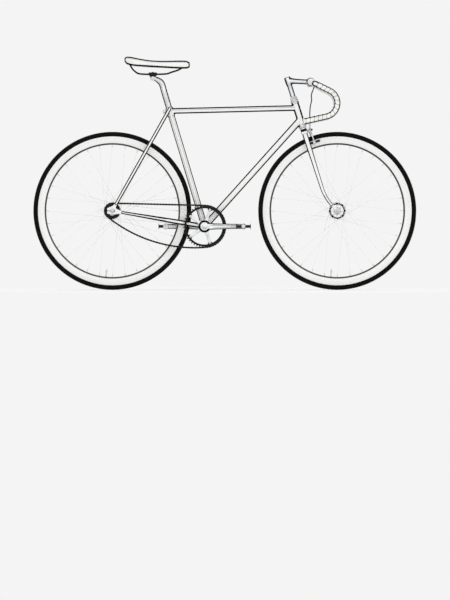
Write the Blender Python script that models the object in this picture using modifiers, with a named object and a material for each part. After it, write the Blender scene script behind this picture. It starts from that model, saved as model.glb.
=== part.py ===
"""Fixed-gear road bike with drop bars, a front side-pull brake and high-flange wheels.

Metres, +Z up, +X forward. The origin is on the ground, midway between the two axles, in the
plane of the wheels. The drive side is -Y. Every sub-part is one closed solid.
"""

import math

import bmesh
import bpy
from mathutils import Matrix, Vector

# Fits
GAP = 0.0003            # between faces that touch on the real bike
RUNNING = 0.00006       # radial, between a shaft and the bore that turns or slides on it

# Wheel sizes that the frame is built round
RIM_OUTER_RADIUS = 0.3165
RIM_DEPTH = 0.0355
RIM_INNER_RADIUS = RIM_OUTER_RADIUS - RIM_DEPTH
TYRE_HEIGHT = 0.0195        # from the rim's edge to the tread
TYRE_RADIUS = RIM_OUTER_RADIUS + TYRE_HEIGHT

# Frame geometry
BETWEEN_TYRES = 0.284
WHEELBASE = 2 * TYRE_RADIUS + BETWEEN_TYRES
CHAIN_STAY_LENGTH = TYRE_RADIUS + 0.0615
BB_DROP = 0.066
SEAT_ANGLE = math.radians(73.3)
HEAD_ANGLE = math.radians(72.5)
FORK_RAKE = 0.033
CROWN_HEIGHT = 0.024
AXLE_TO_CROWN = TYRE_RADIUS + 0.016 + CROWN_HEIGHT  # along the steering axis, to the crown's top
LOWER_STACK = 0.013
HEAD_TUBE_LENGTH = 0.105
SEAT_TUBE_LENGTH = 0.527
TOP_TUBE_AT_SEAT = SEAT_TUBE_LENGTH - 0.015
TOP_TUBE_BELOW_HEAD_TOP = 0.025
DOWN_TUBE_ABOVE_HEAD_END = 0.028
SEAT_STAY_TOP = SEAT_TUBE_LENGTH - 0.007

# Frame tubes
TUBE_WALL = 0.0012
HEAD_TUBE_RADIUS = 0.0159
TOP_TUBE_RADIUS = 0.0127
DOWN_TUBE_RADIUS = 0.0150
SEAT_TUBE_RADIUS = 0.0143
SEAT_LUG_RADIUS = 0.0165
SEAT_LUG_LENGTH = 0.037
SEAT_SIDES = 20
SHELL_RADIUS = 0.020
SHELL_WIDTH = 0.068
SHELL_BORE = 0.0176
CHAIN_STAY_HEIGHT = 0.0220
CHAIN_STAY_WIDTH = 0.0170
STAY_END_RADIUS = 0.0065
SEAT_STAY_RADIUS = 0.0080
STAY_OFFSET_AT_SHELL = 0.0215
STAY_OFFSET_AT_SEAT = 0.0205
BRIDGE_RADIUS = 0.0060
BINDER_RADIUS = 0.0025
BRIDGE_CLEARANCE = 0.014    # from the tyre to the middle of the brake bridge

# Dropouts and axles
REAR_SPACING = 0.120
FRONT_SPACING = 0.100
DROPOUT_THICKNESS = 0.0055
FORK_END_THICKNESS = 0.0050
CHAIN_STAY_TONGUE = 0.040
SEAT_STAY_TONGUE = 0.030
REAR_AXLE_RADIUS = 0.0050
FRONT_AXLE_RADIUS = 0.0045
AXLE_NUT_LENGTH = 0.0095
AXLE_NUT_RADIUS = 0.0090
AXLE_END = 0.0045           # how far an axle stands out of its nut
AXLE_SIDES = 8

# Wheels
TYRE_WIDTH = 0.025
RIM_WIDTH = 0.019
RIM_TIP_WIDTH = 0.008
BRAKE_TRACK_DEPTH = 0.0135
SPOKE_COUNT = 32
WHEEL_FACETS = SPOKE_COUNT  # one flat of the rim for each spoke
SPOKE_CROSSES = 3
SPOKE_RADIUS = 0.00115
SPOKE_PLANE_OFFSET = 0.00125
FLANGE_RADIUS = 0.035
FLANGE_THICKNESS = 0.0030
FRONT_FLANGE_OFFSET = 0.0350
REAR_FLANGE_OFFSET = 0.0330
FRONT_HUB_HALF_LENGTH = 0.0420
REAR_HUB_HALF_LENGTH = 0.0520
HUB_BARREL_RADIUS = 0.0120
HUB_NECK_RADIUS = 0.0125
HUB_SIDES = 16

# Drive
CHAIN_PITCH = 0.0127
CHAINRING_TEETH = 44
COG_TEETH = 16
CHAIN_LINE = 0.0425
TOOTH_THICKNESS = 0.0026
TOOTH_HEIGHT = 0.0032       # above the pitch circle
TOOTH_DEPTH = 0.0046        # below the pitch circle
VALLEY_HALF = 0.0035
CHAINRING_INNER_RADIUS = 0.0765
RING_BOLT_RADIUS = 0.072
RING_TAB_HALF_WIDTH = 0.0080
CHAIN_INNER_WIDTH = 0.0034
CHAIN_PLATE = 0.0011
LINK_BLOCK_HALF = 0.0032    # half the length of the block round each pin
LINK_HALF_HEIGHT = 0.0042
LINK_WAIST_HALF = 0.0028
COG_THREAD_RADIUS = 0.0175
LOCKRING_THREAD_RADIUS = 0.0160

# Cranks and pedals
CRANK_LENGTH = 0.165
CRANK_PLANE = 0.062
CRANK_THICKNESS = 0.012
CRANK_BOSS_RADIUS = 0.0175
CRANK_BOSS_INNER = 0.040
PEDAL_EYE_RADIUS = 0.0125
SPINDLE_RADIUS = 0.0085
SPINDLE_SQUARE = 0.0127
SPINDLE_HALF_LENGTH = 0.058
SPIDER_ARMS = 5
SPIDER_THICKNESS = 0.005
PEDAL_AXLE_RADIUS = 0.0045
PEDAL_THREAD_RADIUS = 0.0065
PEDAL_INNER = 0.0755
PEDAL_OUTER = 0.150
PEDAL_HALF_LENGTH = 0.0315
PEDAL_HALF_HEIGHT = 0.0115
PEDAL_PLATE = 0.0026

# Fork, headset, stem
STEERER_RADIUS = 0.0127
STEERER_BORE = 0.0113
BLADE_OFFSET_AT_CROWN = 0.0265
BLADE_CURVE_START = 0.115   # height above the axle where the blades start to bend forward
CROWN_HALF_WIDTH = 0.036
CROWN_HALF_DEPTH = 0.014
HEADSET_RADIUS = 0.0180
CUP_INSERT_RADIUS = 0.0146
CUP_INSERT_DEPTH = 0.008
UPPER_CUP_HEIGHT = 0.009
LOWER_CUP_HEIGHT = 0.0075
LOCKNUT_HEIGHT = 0.0165
HEAD_SIDES = 12
QUILL_RADIUS = 0.0111
QUILL_DEPTH = 0.050         # below the top of the head tube
STEM_RISE = 0.0618          # bar clamp above the head tube, along the steering axis
STEM_REACH = 0.0893
STEM_BAR_RADIUS = 0.0115
STEM_CLAMP_RADIUS = 0.0195
STEM_CLAMP_HALF_WIDTH = 0.021

# Handlebar
BAR_RADIUS = 0.0120
BAR_BULGE = 0.0008          # extra radius in the stem's clamp
BAR_SIDES = 8
BAR_WIDTH = 0.400
BAR_BEND_RADIUS = 0.045
RAMP_SLOPE = math.radians(26)
RAMP_LENGTH = 0.0883
HOOK_RADIUS = 0.058
DROP_SLOPE = math.radians(12.5)
DROP_LENGTH = 0.100
TAPE_THICKNESS = 0.0024
TAPE_START = 0.085

# Saddle and seatpost
SEATPOST_RADIUS = 0.0136
SEATPOST_INSERTED = 0.130
SEATPOST_STRAIGHT = 0.106   # from the top of the seat tube to where the post bends back
POST_HEAD_RADIUS = 0.0125
POST_HEAD_HALF_WIDTH = 0.016
POST_HEAD_SETBACK = 0.0381      # from the post's straight length back and up to its head
POST_HEAD_RISE = 0.0257
RAIL_RADIUS = 0.0035
RAIL_SPACING = 0.044
RAIL_RISE = 0.0155          # rails above the head's axis
CLAMP_HALF_LENGTH = 0.019
CLAMP_HALF_WIDTH = RAIL_SPACING / 2 + 0.0055
CLAMP_LOW = 0.0085
CLAMP_HIGH = RAIL_RISE + 0.0070
SADDLE_TAIL = 0.117             # from the head's axis back to the tail
SADDLE_NOSE = 0.154
SADDLE_HALF_WIDTH = 0.069
SADDLE_TOP = 0.072              # flat of the nose above the head's axis
SADDLE_SKIRT = 0.044            # lower edge there

# Front brake
BRAKE_PIVOT_HEIGHT = AXLE_TO_CROWN - 0.014
BRAKE_BOLT_RADIUS = 0.0030
BRAKE_ARM_THICKNESS = 0.006
PAD_BELOW_RIM_EDGE = 0.0085
BRAKE_REACH = BRAKE_PIVOT_HEIGHT - RIM_OUTER_RADIUS + PAD_BELOW_RIM_EDGE
PAD_LENGTH = 0.050
PAD_HEIGHT = 0.009
PAD_THICKNESS = 0.0075
PAD_CLEARANCE = 0.0026
LEVER_PLANE_SLOPE = math.radians(30)
LEVER_SIDE = -0.055
LEVER_CLAMP_RADIUS = 0.0165
LEVER_CLAMP_WIDTH = 0.016
LEVER_PIVOT_DISTANCE = 0.034
LEVER_THICKNESS = 0.008
LEVER_LENGTH = 0.100
LEVER_PIN_RADIUS = 0.0025
CABLE_RADIUS = 0.0025

# Derived places
X_AXIS = Vector((1.0, 0.0, 0.0))
Y_AXIS = Vector((0.0, 1.0, 0.0))
Z_AXIS = Vector((0.0, 0.0, 1.0))
REAR_AXLE = Vector((-WHEELBASE / 2, 0.0, TYRE_RADIUS))
FRONT_AXLE = Vector((WHEELBASE / 2, 0.0, TYRE_RADIUS))
BB = REAR_AXLE + Vector((math.sqrt(CHAIN_STAY_LENGTH ** 2 - BB_DROP ** 2), 0.0, -BB_DROP))
SEAT_UP = Vector((-math.cos(SEAT_ANGLE), 0.0, math.sin(SEAT_ANGLE)))
SEAT_FRONT = Vector((math.sin(SEAT_ANGLE), 0.0, math.cos(SEAT_ANGLE)))
STEER_UP = Vector((-math.cos(HEAD_ANGLE), 0.0, math.sin(HEAD_ANGLE)))
STEER_FRONT = Vector((math.sin(HEAD_ANGLE), 0.0, math.cos(HEAD_ANGLE)))
AXLE_FOOT = FRONT_AXLE - FORK_RAKE * STEER_FRONT
HEAD_LOW = AXLE_TO_CROWN + LOWER_STACK
HEAD_TOP = HEAD_LOW + HEAD_TUBE_LENGTH
TO_AXLE = (REAR_AXLE - BB).normalized()
CHAINRING_PITCH_RADIUS = CHAIN_PITCH / (2 * math.sin(math.pi / CHAINRING_TEETH))
COG_PITCH_RADIUS = CHAIN_PITCH / (2 * math.sin(math.pi / COG_TEETH))


def seat_point(height, side=0.0):
    """A point on the seat tube's axis, height above the bottom bracket."""
    return BB + height * SEAT_UP + side * Y_AXIS


def steer_point(height, front=0.0, side=0.0):
    """A point given by its height along the steering axis and its place before it."""
    return AXLE_FOOT + height * STEER_UP + front * STEER_FRONT + side * Y_AXIS


BAR_CENTRE = steer_point(HEAD_TOP + STEM_RISE, STEM_REACH)
SEAT_CLUSTER = seat_point(SEAT_STAY_TOP)
POST_BEND = seat_point(SEAT_TUBE_LENGTH + SEATPOST_STRAIGHT)
SADDLE_CENTRE = POST_BEND + Vector((-POST_HEAD_SETBACK, 0.0, POST_HEAD_RISE))
UP_SEAT_STAY = (SEAT_CLUSTER - REAR_AXLE).normalized()

# Colours: name, colour, roughness, metallic
FINISHES = {
    "frame_paint": ((0.90, 0.90, 0.88), 0.35, 0.0),
    "polished_alloy": ((0.80, 0.81, 0.82), 0.28, 1.0),
    "rim_white": ((0.93, 0.93, 0.92), 0.30, 0.0),
    "tyre_rubber": ((0.02, 0.02, 0.02), 0.75, 0.0),
    "black_steel": ((0.03, 0.03, 0.03), 0.40, 0.9),
    "chain_steel": ((0.05, 0.05, 0.05), 0.35, 0.9),
    "bar_tape": ((0.88, 0.88, 0.86), 0.80, 0.0),
    "saddle_leather": ((0.90, 0.89, 0.87), 0.50, 0.0),
    "brake_rubber": ((0.03, 0.03, 0.03), 0.85, 0.0),
    "cable_housing": ((0.03, 0.03, 0.03), 0.50, 0.0),
}


# Scene and helpers

def clear_scene():
    for old in list(bpy.data.objects):
        bpy.data.objects.remove(old, do_unlink=True)


def new_collection(name):
    collection = bpy.data.collections.new(name)
    bpy.context.scene.collection.children.link(collection)
    return collection


clear_scene()
BIKE = new_collection("road_bike")
WORKSHOP = new_collection("workshop")


def frame_matrix(base, axis):
    """Local Z along the axis, local X sideways, or forward where the axis itself is sideways."""
    up = axis.normalized()
    reference = X_AXIS if abs(up.y) > 0.9 else Y_AXIS
    across = (reference - reference.dot(up) * up).normalized()
    along = up.cross(across)
    rotation = Matrix((across, along, up)).transposed().to_4x4()
    return Matrix.Translation(base) @ rotation


def blank_from_mesh(mesh):
    blank = bpy.data.objects.new("blank", mesh)
    WORKSHOP.objects.link(blank)
    return blank


def blank_from_bmesh(bm):
    mesh = bpy.data.meshes.new("blank")
    bm.to_mesh(mesh)
    bm.free()
    return blank_from_mesh(mesh)


def bake(blank):
    """Replace a blank by its evaluated mesh in world space, welded and facing out."""
    bpy.context.view_layer.update()
    depsgraph = bpy.context.evaluated_depsgraph_get()
    mesh = bpy.data.meshes.new_from_object(blank.evaluated_get(depsgraph))
    mesh.transform(blank.matrix_world)
    bm = bmesh.new()
    bm.from_mesh(mesh)
    bmesh.ops.remove_doubles(bm, verts=bm.verts, dist=1e-6)
    bmesh.ops.dissolve_degenerate(bm, edges=bm.edges, dist=1e-7)
    bmesh.ops.recalc_face_normals(bm, faces=bm.faces)
    if bm.calc_volume(signed=True) < 0:
        bmesh.ops.reverse_faces(bm, faces=bm.faces)
    bm.to_mesh(mesh)
    bm.free()
    bpy.data.objects.remove(blank, do_unlink=True)
    return blank_from_mesh(mesh)


def combine(blank, tool, operation):
    """Boolean of two blanks; the tool is used up."""
    modifier = blank.modifiers.new("Boolean", "BOOLEAN")
    modifier.operation = operation
    modifier.solver = "EXACT"
    modifier.object = tool
    result = bake(blank)
    bpy.data.objects.remove(tool, do_unlink=True)
    return result


def cut(blank, *tools):
    for tool in tools:
        blank = combine(blank, tool, "DIFFERENCE")
    return blank


def join(blank, *tools):
    for tool in tools:
        blank = combine(blank, tool, "UNION")
    return blank


def rod(start, end, radius, sides=16, end_radius=None):
    """A straight round bar or cone between two points."""
    bm = bmesh.new()
    bmesh.ops.create_cone(
        bm,
        cap_ends=True,
        segments=sides,
        radius1=radius,
        radius2=radius if end_radius is None else end_radius,
        depth=(end - start).length,
        matrix=frame_matrix((start + end) / 2, end - start),
    )
    return blank_from_bmesh(bm)


def box(centre, size, x_axis=X_AXIS, z_axis=Z_AXIS):
    """A block with its length along x_axis and its height along z_axis."""
    rotation = Matrix((x_axis, z_axis.cross(x_axis), z_axis)).transposed().to_4x4()
    scale = Matrix.Diagonal((*size, 1.0))
    bm = bmesh.new()
    bmesh.ops.create_cube(bm, size=1.0, matrix=Matrix.Translation(centre) @ rotation @ scale)
    return blank_from_bmesh(bm)


def turned(profile, base, axis, sides=16, spin=0.0):
    """Turn (radius, height) points about an axis; a profile clear of the axis makes a ring."""
    mesh = bpy.data.meshes.new("profile")
    edges = [(i, i + 1) for i in range(len(profile) - 1)]
    if min(radius for radius, _ in profile) > 0:
        edges.append((len(profile) - 1, 0))
    mesh.from_pydata([(radius, 0.0, height) for radius, height in profile], edges, [])
    blank = blank_from_mesh(mesh)
    screw = blank.modifiers.new("Screw", "SCREW")
    screw.steps = sides
    screw.render_steps = sides
    screw.use_merge_vertices = True
    screw.merge_threshold = 1e-5
    blank.matrix_world = frame_matrix(base, axis) @ Matrix.Rotation(spin, 4, "Z")
    return bake(blank)


def bent_tube(points, radius, resolution=2, radii=None):
    """A round wire along points; resolution 1, 2, 3, 4 gives 6, 8, 10, 12 sides."""
    curve = bpy.data.curves.new("wire", "CURVE")
    curve.dimensions = "3D"
    curve.bevel_depth = radius
    curve.bevel_resolution = resolution
    curve.use_fill_caps = True
    spline = curve.splines.new("POLY")
    spline.points.add(len(points) - 1)
    for i, (knot, point) in enumerate(zip(spline.points, points)):
        knot.co = (*point, 1.0)
        knot.radius = radii[i] / radius if radii else 1.0
    blank = bpy.data.objects.new("wire", curve)
    WORKSHOP.objects.link(blank)
    return bake(blank)


def swept(points, radii, sides):
    """A round wire whose facets are carried along the path, so that a sleeve on it lines up."""
    tangents = []
    for i in range(len(points)):
        before = points[max(i - 1, 0)]
        after = points[min(i + 1, len(points) - 1)]
        tangents.append((after - before).normalized())
    across = Y_AXIS
    loops = []
    for point, tangent, radius in zip(points, tangents, radii):
        across = (across - across.dot(tangent) * tangent).normalized()
        up = tangent.cross(across)
        loops.append(oval(point, across, up, radius, radius, sides))
    return loft(loops)


def plate(outlines, matrix, thickness):
    """A flat plate from closed (u, v) outlines; inner outlines are holes."""
    curve = bpy.data.curves.new("outline", "CURVE")
    curve.dimensions = "2D"
    curve.fill_mode = "BOTH"
    curve.extrude = thickness / 2
    for outline in outlines:
        spline = curve.splines.new("POLY")
        spline.points.add(len(outline) - 1)
        for knot, (u, v) in zip(spline.points, outline):
            knot.co = (u, v, 0.0, 1.0)
        spline.use_cyclic_u = True
    blank = bpy.data.objects.new("outline", curve)
    WORKSHOP.objects.link(blank)
    blank.matrix_world = matrix
    return bake(blank)


def plane_matrix(origin, u_axis, v_axis):
    normal = u_axis.cross(v_axis)
    rotation = Matrix((u_axis, v_axis, normal)).transposed().to_4x4()
    return Matrix.Translation(origin) @ rotation


def loft(loops):
    """A closed body through loops of equal length, with flat ends."""
    bm = bmesh.new()
    rings = [[bm.verts.new(point) for point in loop] for loop in loops]
    for ring, following in zip(rings, rings[1:]):
        for i in range(len(ring)):
            j = (i + 1) % len(ring)
            bm.faces.new((ring[i], ring[j], following[j], following[i]))
    bm.faces.new(rings[0][::-1])
    bm.faces.new(rings[-1])
    bmesh.ops.recalc_face_normals(bm, faces=bm.faces)
    return blank_from_bmesh(bm)


def oval(centre, u_axis, v_axis, u_radius, v_radius, sides):
    """The loop of an ellipse, for loft."""
    turns = [2 * math.pi * (i + 0.5) / sides for i in range(sides)]
    return [
        centre + math.cos(t) * u_radius * u_axis + math.sin(t) * v_radius * v_axis for t in turns
    ]


def strap_outline(points, widths):
    """The outline of a flat strap that runs through (u, v) points with the given widths."""
    left = []
    right = []
    for i, (u, v) in enumerate(points):
        before = points[max(i - 1, 0)]
        after = points[min(i + 1, len(points) - 1)]
        du = after[0] - before[0]
        dv = after[1] - before[1]
        length = math.hypot(du, dv)
        nu = -dv / length * widths[i] / 2
        nv = du / length * widths[i] / 2
        left.append((u + nu, v + nv))
        right.append((u - nu, v - nv))
    return left + right[::-1]


def arc(centre, radius, start, end, steps):
    """Points (u, v) on an arc, in radians, both ends included."""
    turns = [start + (end - start) * i / steps for i in range(steps + 1)]
    return [(centre[0] + radius * math.cos(t), centre[1] + radius * math.sin(t)) for t in turns]


def smooth_path(points, steps):
    """Points on a smooth curve through the given ones, steps between each pair."""
    path = []
    for i in range(len(points) - 1):
        p0 = points[max(i - 1, 0)]
        p1 = points[i]
        p2 = points[i + 1]
        p3 = points[min(i + 2, len(points) - 1)]
        for k in range(steps):
            t = k / steps
            path.append(
                0.5 * (
                    2 * p1
                    + t * (p2 - p0)
                    + t ** 2 * (2 * p0 - 5 * p1 + 4 * p2 - p3)
                    + t ** 3 * (3 * p1 - p0 - 3 * p2 + p3)
                )
            )
    return path + [points[-1]]


def bore(shaft_radius, sides, clearance=RUNNING):
    """Corner radius of a faceted hole that clears a round shaft all the way round."""
    return (shaft_radius + clearance) / math.cos(math.pi / sides)


# Bodies: one empty on each joint, so that a moving piece turns or slides about it

def add_body(name, place, parent=None):
    empty = bpy.data.objects.new(name + "_pivot", None)
    empty.empty_display_size = 0.03
    BIKE.objects.link(empty)
    empty.location = place
    if parent:
        empty.parent = parent
        empty.location = place - PIVOTS[parent]
    PIVOTS[empty] = Vector(place)
    return empty


PEDAL_RIGHT_AXIS = BB + Vector((CRANK_LENGTH, -CRANK_PLANE, 0.0))
PEDAL_LEFT_AXIS = BB + Vector((-CRANK_LENGTH, CRANK_PLANE, 0.0))
LEVER_OUT = Vector((math.cos(LEVER_PLANE_SLOPE), 0.0, -math.sin(LEVER_PLANE_SLOPE)))
LEVER_AXIS = Vector((math.sin(LEVER_PLANE_SLOPE), 0.0, math.cos(LEVER_PLANE_SLOPE)))
LEVER_PIVOT = BAR_CENTRE + LEVER_SIDE * Y_AXIS + LEVER_PIVOT_DISTANCE * LEVER_OUT
BRAKE_PIVOT = steer_point(BRAKE_PIVOT_HEIGHT, CROWN_HALF_DEPTH)

PIVOTS = {}
FRAME_BODY = add_body("frame", Vector((0.0, 0.0, 0.0)))
SEATPOST_BODY = add_body("seatpost", seat_point(SEAT_TUBE_LENGTH), FRAME_BODY)
CLAMP_BODY = add_body("saddle_clamp", SADDLE_CENTRE, SEATPOST_BODY)
SADDLE_BODY = add_body("saddle", SADDLE_CENTRE + RAIL_RISE * Z_AXIS, CLAMP_BODY)
FORK_BODY = add_body("fork", steer_point(HEAD_LOW), FRAME_BODY)
FRONT_WHEEL_BODY = add_body("front_wheel", FRONT_AXLE, FORK_BODY)
LEVER_BODY = add_body("brake_lever", LEVER_PIVOT, FORK_BODY)
BRAKE_LEFT_BODY = add_body("brake_arm_left", BRAKE_PIVOT, FORK_BODY)
BRAKE_RIGHT_BODY = add_body("brake_arm_right", BRAKE_PIVOT, FORK_BODY)
REAR_WHEEL_BODY = add_body("rear_wheel", REAR_AXLE, FRAME_BODY)
CRANK_BODY = add_body("crankset", BB, FRAME_BODY)
PEDAL_LEFT_BODY = add_body("pedal_left", PEDAL_LEFT_AXIS, CRANK_BODY)
PEDAL_RIGHT_BODY = add_body("pedal_right", PEDAL_RIGHT_AXIS, CRANK_BODY)


def part(name, blank, body, finish, sharp=35.0):
    """Finish a blank as a named sub-part of a body, with its own material."""
    colour, roughness, metallic = FINISHES[finish]
    material = bpy.data.materials.new(name + "_" + finish)
    material.use_nodes = True
    shader = material.node_tree.nodes["Principled BSDF"]
    shader.inputs["Base Color"].default_value = (*colour, 1.0)
    shader.inputs["Roughness"].default_value = roughness
    shader.inputs["Metallic"].default_value = metallic
    blank.name = name
    blank.data.name = name
    blank.data.transform(Matrix.Translation(-PIVOTS[body]))
    blank.data.materials.clear()
    blank.data.materials.append(material)
    blank.data.shade_smooth()
    blank.data.set_sharp_from_angle(angle=math.radians(sharp))
    blank.parent = body
    WORKSHOP.objects.unlink(blank)
    BIKE.objects.link(blank)
    return blank


# Frame

def tube_cutter(start, end, radius, sides):
    """What a tube takes out of its neighbour, a gap wider than the tube, on its own facets."""
    return rod(start, end, radius + GAP / math.cos(math.pi / sides), sides)


def shell_cutter():
    half = Y_AXIS * (SHELL_WIDTH / 2 + 0.01)
    return tube_cutter(BB - half, BB + half, SHELL_RADIUS, 20)


def seat_tube_cutter():
    return tube_cutter(seat_point(0), seat_point(SEAT_TUBE_LENGTH), SEAT_TUBE_RADIUS, SEAT_SIDES)


def seat_lug_cutter():
    low = seat_point(SEAT_TUBE_LENGTH - SEAT_LUG_LENGTH - GAP)
    high = seat_point(SEAT_TUBE_LENGTH + SEAT_LUG_LENGTH)
    return tube_cutter(low, high, SEAT_LUG_RADIUS, SEAT_SIDES)


def head_tube_cutter():
    return tube_cutter(steer_point(HEAD_LOW), steer_point(HEAD_TOP), HEAD_TUBE_RADIUS, HEAD_SIDES)


def make_head_tube():
    wall = bore(CUP_INSERT_RADIUS, HEAD_SIDES, GAP)
    profile = [
        (HEAD_TUBE_RADIUS, 0.0),
        (HEAD_TUBE_RADIUS, HEAD_TUBE_LENGTH),
        (wall, HEAD_TUBE_LENGTH),
        (wall, 0.0),
    ]
    tube = turned(profile, steer_point(HEAD_LOW), STEER_UP, HEAD_SIDES)
    part("head_tube", tube, FRAME_BODY, "frame_paint")


def make_main_tube(name, start, end, radius, cutters):
    """A hollow main tube, mitred to what it meets."""
    direction = (end - start).normalized()
    tube = rod(start, end, radius, 16)
    inside = rod(start - 0.01 * direction, end + 0.01 * direction, radius - TUBE_WALL, 16)
    tube = cut(tube, inside, *cutters)
    part(name, tube, FRAME_BODY, "frame_paint")


def make_top_tube():
    start = seat_point(TOP_TUBE_AT_SEAT)
    end = steer_point(HEAD_TOP - TOP_TUBE_BELOW_HEAD_TOP)
    cutters = [seat_lug_cutter(), seat_tube_cutter(), head_tube_cutter()]
    make_main_tube("top_tube", start, end, TOP_TUBE_RADIUS, cutters)


def make_down_tube():
    end = steer_point(HEAD_LOW + DOWN_TUBE_ABOVE_HEAD_END)
    cutters = [shell_cutter(), seat_tube_cutter(), head_tube_cutter()]
    make_main_tube("down_tube", BB, end, DOWN_TUBE_RADIUS, cutters)


def make_seat_tube():
    """Seat tube with its lug, the slot behind it and the two ears of the binder bolt."""
    lug_start = SEAT_TUBE_LENGTH - SEAT_LUG_LENGTH
    profile = [
        (0.0, 0.0),
        (SEAT_TUBE_RADIUS, 0.0),
        (SEAT_TUBE_RADIUS, lug_start),
        (SEAT_LUG_RADIUS, lug_start),
        (SEAT_LUG_RADIUS, SEAT_TUBE_LENGTH),
        (0.0, SEAT_TUBE_LENGTH),
    ]
    tube = turned(profile, BB, SEAT_UP, SEAT_SIDES)
    ear_height = 0.018
    ear_reach = 0.0165
    ears = box(
        seat_point(SEAT_TUBE_LENGTH - ear_height / 2 - 0.002)
        - (SEAT_TUBE_RADIUS + ear_reach / 2) * SEAT_FRONT,
        (ear_reach, 0.016, ear_height),
        SEAT_FRONT,
        SEAT_UP,
    )
    tube = join(tube, ears)
    post_bore = rod(
        seat_point(-0.01),
        seat_point(SEAT_TUBE_LENGTH + 0.01),
        bore(SEATPOST_RADIUS, SEAT_SIDES),
        SEAT_SIDES,
    )
    slot = box(
        seat_point(SEAT_TUBE_LENGTH - 0.019) - 0.020 * SEAT_FRONT,
        (0.040, 0.0024, 0.060),
        SEAT_FRONT,
        SEAT_UP,
    )
    hole = rod(
        binder_centre() - 0.012 * Y_AXIS,
        binder_centre() + 0.012 * Y_AXIS,
        bore(BINDER_RADIUS, 8, GAP),
        8,
    )
    tube = cut(tube, post_bore, slot, hole, shell_cutter())
    part("seat_tube", tube, FRAME_BODY, "frame_paint")


def binder_centre():
    return seat_point(SEAT_TUBE_LENGTH - 0.011) - (SEAT_TUBE_RADIUS + 0.0110) * SEAT_FRONT


def make_binder_bolt():
    """The bolt that squeezes the seat lug's ears, head on one side and nut on the other."""
    shank = BINDER_RADIUS
    head = 0.0050
    face = 0.008 + GAP
    profile = [
        (0.0, -face - 0.004),
        (head, -face - 0.004),
        (head, -face),
        (shank, -face),
        (shank, face),
        (head, face),
        (head, face + 0.004),
        (0.0, face + 0.004),
    ]
    bolt = turned(profile, binder_centre(), Y_AXIS, 8)
    part("seat_binder_bolt", bolt, FRAME_BODY, "black_steel")


def make_bottom_bracket_shell():
    half = SHELL_WIDTH / 2
    profile = [
        (SHELL_RADIUS, -half),
        (SHELL_RADIUS, half),
        (SHELL_BORE, half),
        (SHELL_BORE, -half),
    ]
    part("bottom_bracket_shell", turned(profile, BB, Y_AXIS, 20), FRAME_BODY, "frame_paint")


def make_bottom_bracket_cup(name, side):
    """A threaded cup: its sleeve is inside the shell, its flange against the shell's end."""
    half = SHELL_WIDTH / 2
    inner = bore(SPINDLE_RADIUS, 12)
    sleeve = (SHELL_BORE - GAP) * math.cos(math.pi / 20)
    profile = [
        (inner, half - 0.014),
        (sleeve, half - 0.014),
        (sleeve, half + GAP),
        (SHELL_RADIUS, half + GAP),
        (SHELL_RADIUS - 0.001, half + 0.0040),
        (inner, half + 0.0040),
    ]
    part(name, turned(profile, BB, side * Y_AXIS, 12), FRAME_BODY, "black_steel")


def make_chain_stay(name, side):
    """Oval behind the bottom bracket, round at the dropout, bowed out past the tyre."""
    length = CHAIN_STAY_LENGTH
    plane = REAR_SPACING / 2 + DROPOUT_THICKNESS / 2
    end = length - CHAIN_STAY_TONGUE - GAP
    stations = [
        (0.010, STAY_OFFSET_AT_SHELL, 1.00),
        (0.080, STAY_OFFSET_AT_SHELL + 0.0040, 1.00),
        (0.150, STAY_OFFSET_AT_SHELL + 0.0110, 0.85),
        (0.230, STAY_OFFSET_AT_SHELL + 0.0245, 0.55),
        (end - 0.065, plane - 0.0070, 0.25),
        (end - 0.030, plane - 0.0015, 0.08),
        (end, plane, 0.0),
    ]
    height_axis = Y_AXIS.cross(TO_AXLE).normalized()
    loops = []
    for along, offset, oval_share in stations:
        height = STAY_END_RADIUS + (CHAIN_STAY_HEIGHT / 2 - STAY_END_RADIUS) * oval_share
        width = STAY_END_RADIUS + (CHAIN_STAY_WIDTH / 2 - STAY_END_RADIUS) * oval_share
        centre = BB + along * TO_AXLE + side * offset * Y_AXIS
        loops.append(oval(centre, Y_AXIS, height_axis, width, height, 12))
    stay = cut(loft(loops), shell_cutter(), seat_tube_cutter())
    part(name, stay, FRAME_BODY, "frame_paint")


def seat_stay_path(side):
    plane = REAR_SPACING / 2 + DROPOUT_THICKNESS / 2
    length = (SEAT_CLUSTER - REAR_AXLE).length
    stations = [
        (SEAT_STAY_TONGUE + GAP, plane),
        (SEAT_STAY_TONGUE + 0.030, plane - 0.0012),
        (length * 0.35, plane - 0.0100),
        (length * 0.65, STAY_OFFSET_AT_SEAT + 0.0120),
        (length - 0.050, STAY_OFFSET_AT_SEAT + 0.0010),
        (length + 0.010, STAY_OFFSET_AT_SEAT),
    ]
    return [REAR_AXLE + along * UP_SEAT_STAY + side * offset * Y_AXIS for along, offset in stations]


def make_seat_stay(name, side):
    path = seat_stay_path(side)
    widest = SEAT_STAY_RADIUS
    radii = [STAY_END_RADIUS, STAY_END_RADIUS + 0.0005, widest, widest, widest, widest - 0.0008]
    stay = bent_tube(path, widest, 3, radii)
    stay = cut(stay, seat_lug_cutter(), seat_tube_cutter())
    part(name, stay, FRAME_BODY, "frame_paint")


def seat_stay_offset(along):
    """How far a seat stay's centre line is from the middle, at a distance from the axle."""
    path = seat_stay_path(1)
    for low, high in zip(path, path[1:]):
        start = (low - REAR_AXLE).dot(UP_SEAT_STAY)
        end = (high - REAR_AXLE).dot(UP_SEAT_STAY)
        if along <= end:
            return low.y + (high.y - low.y) * (along - start) / (end - start)
    return path[-1].y


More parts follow.
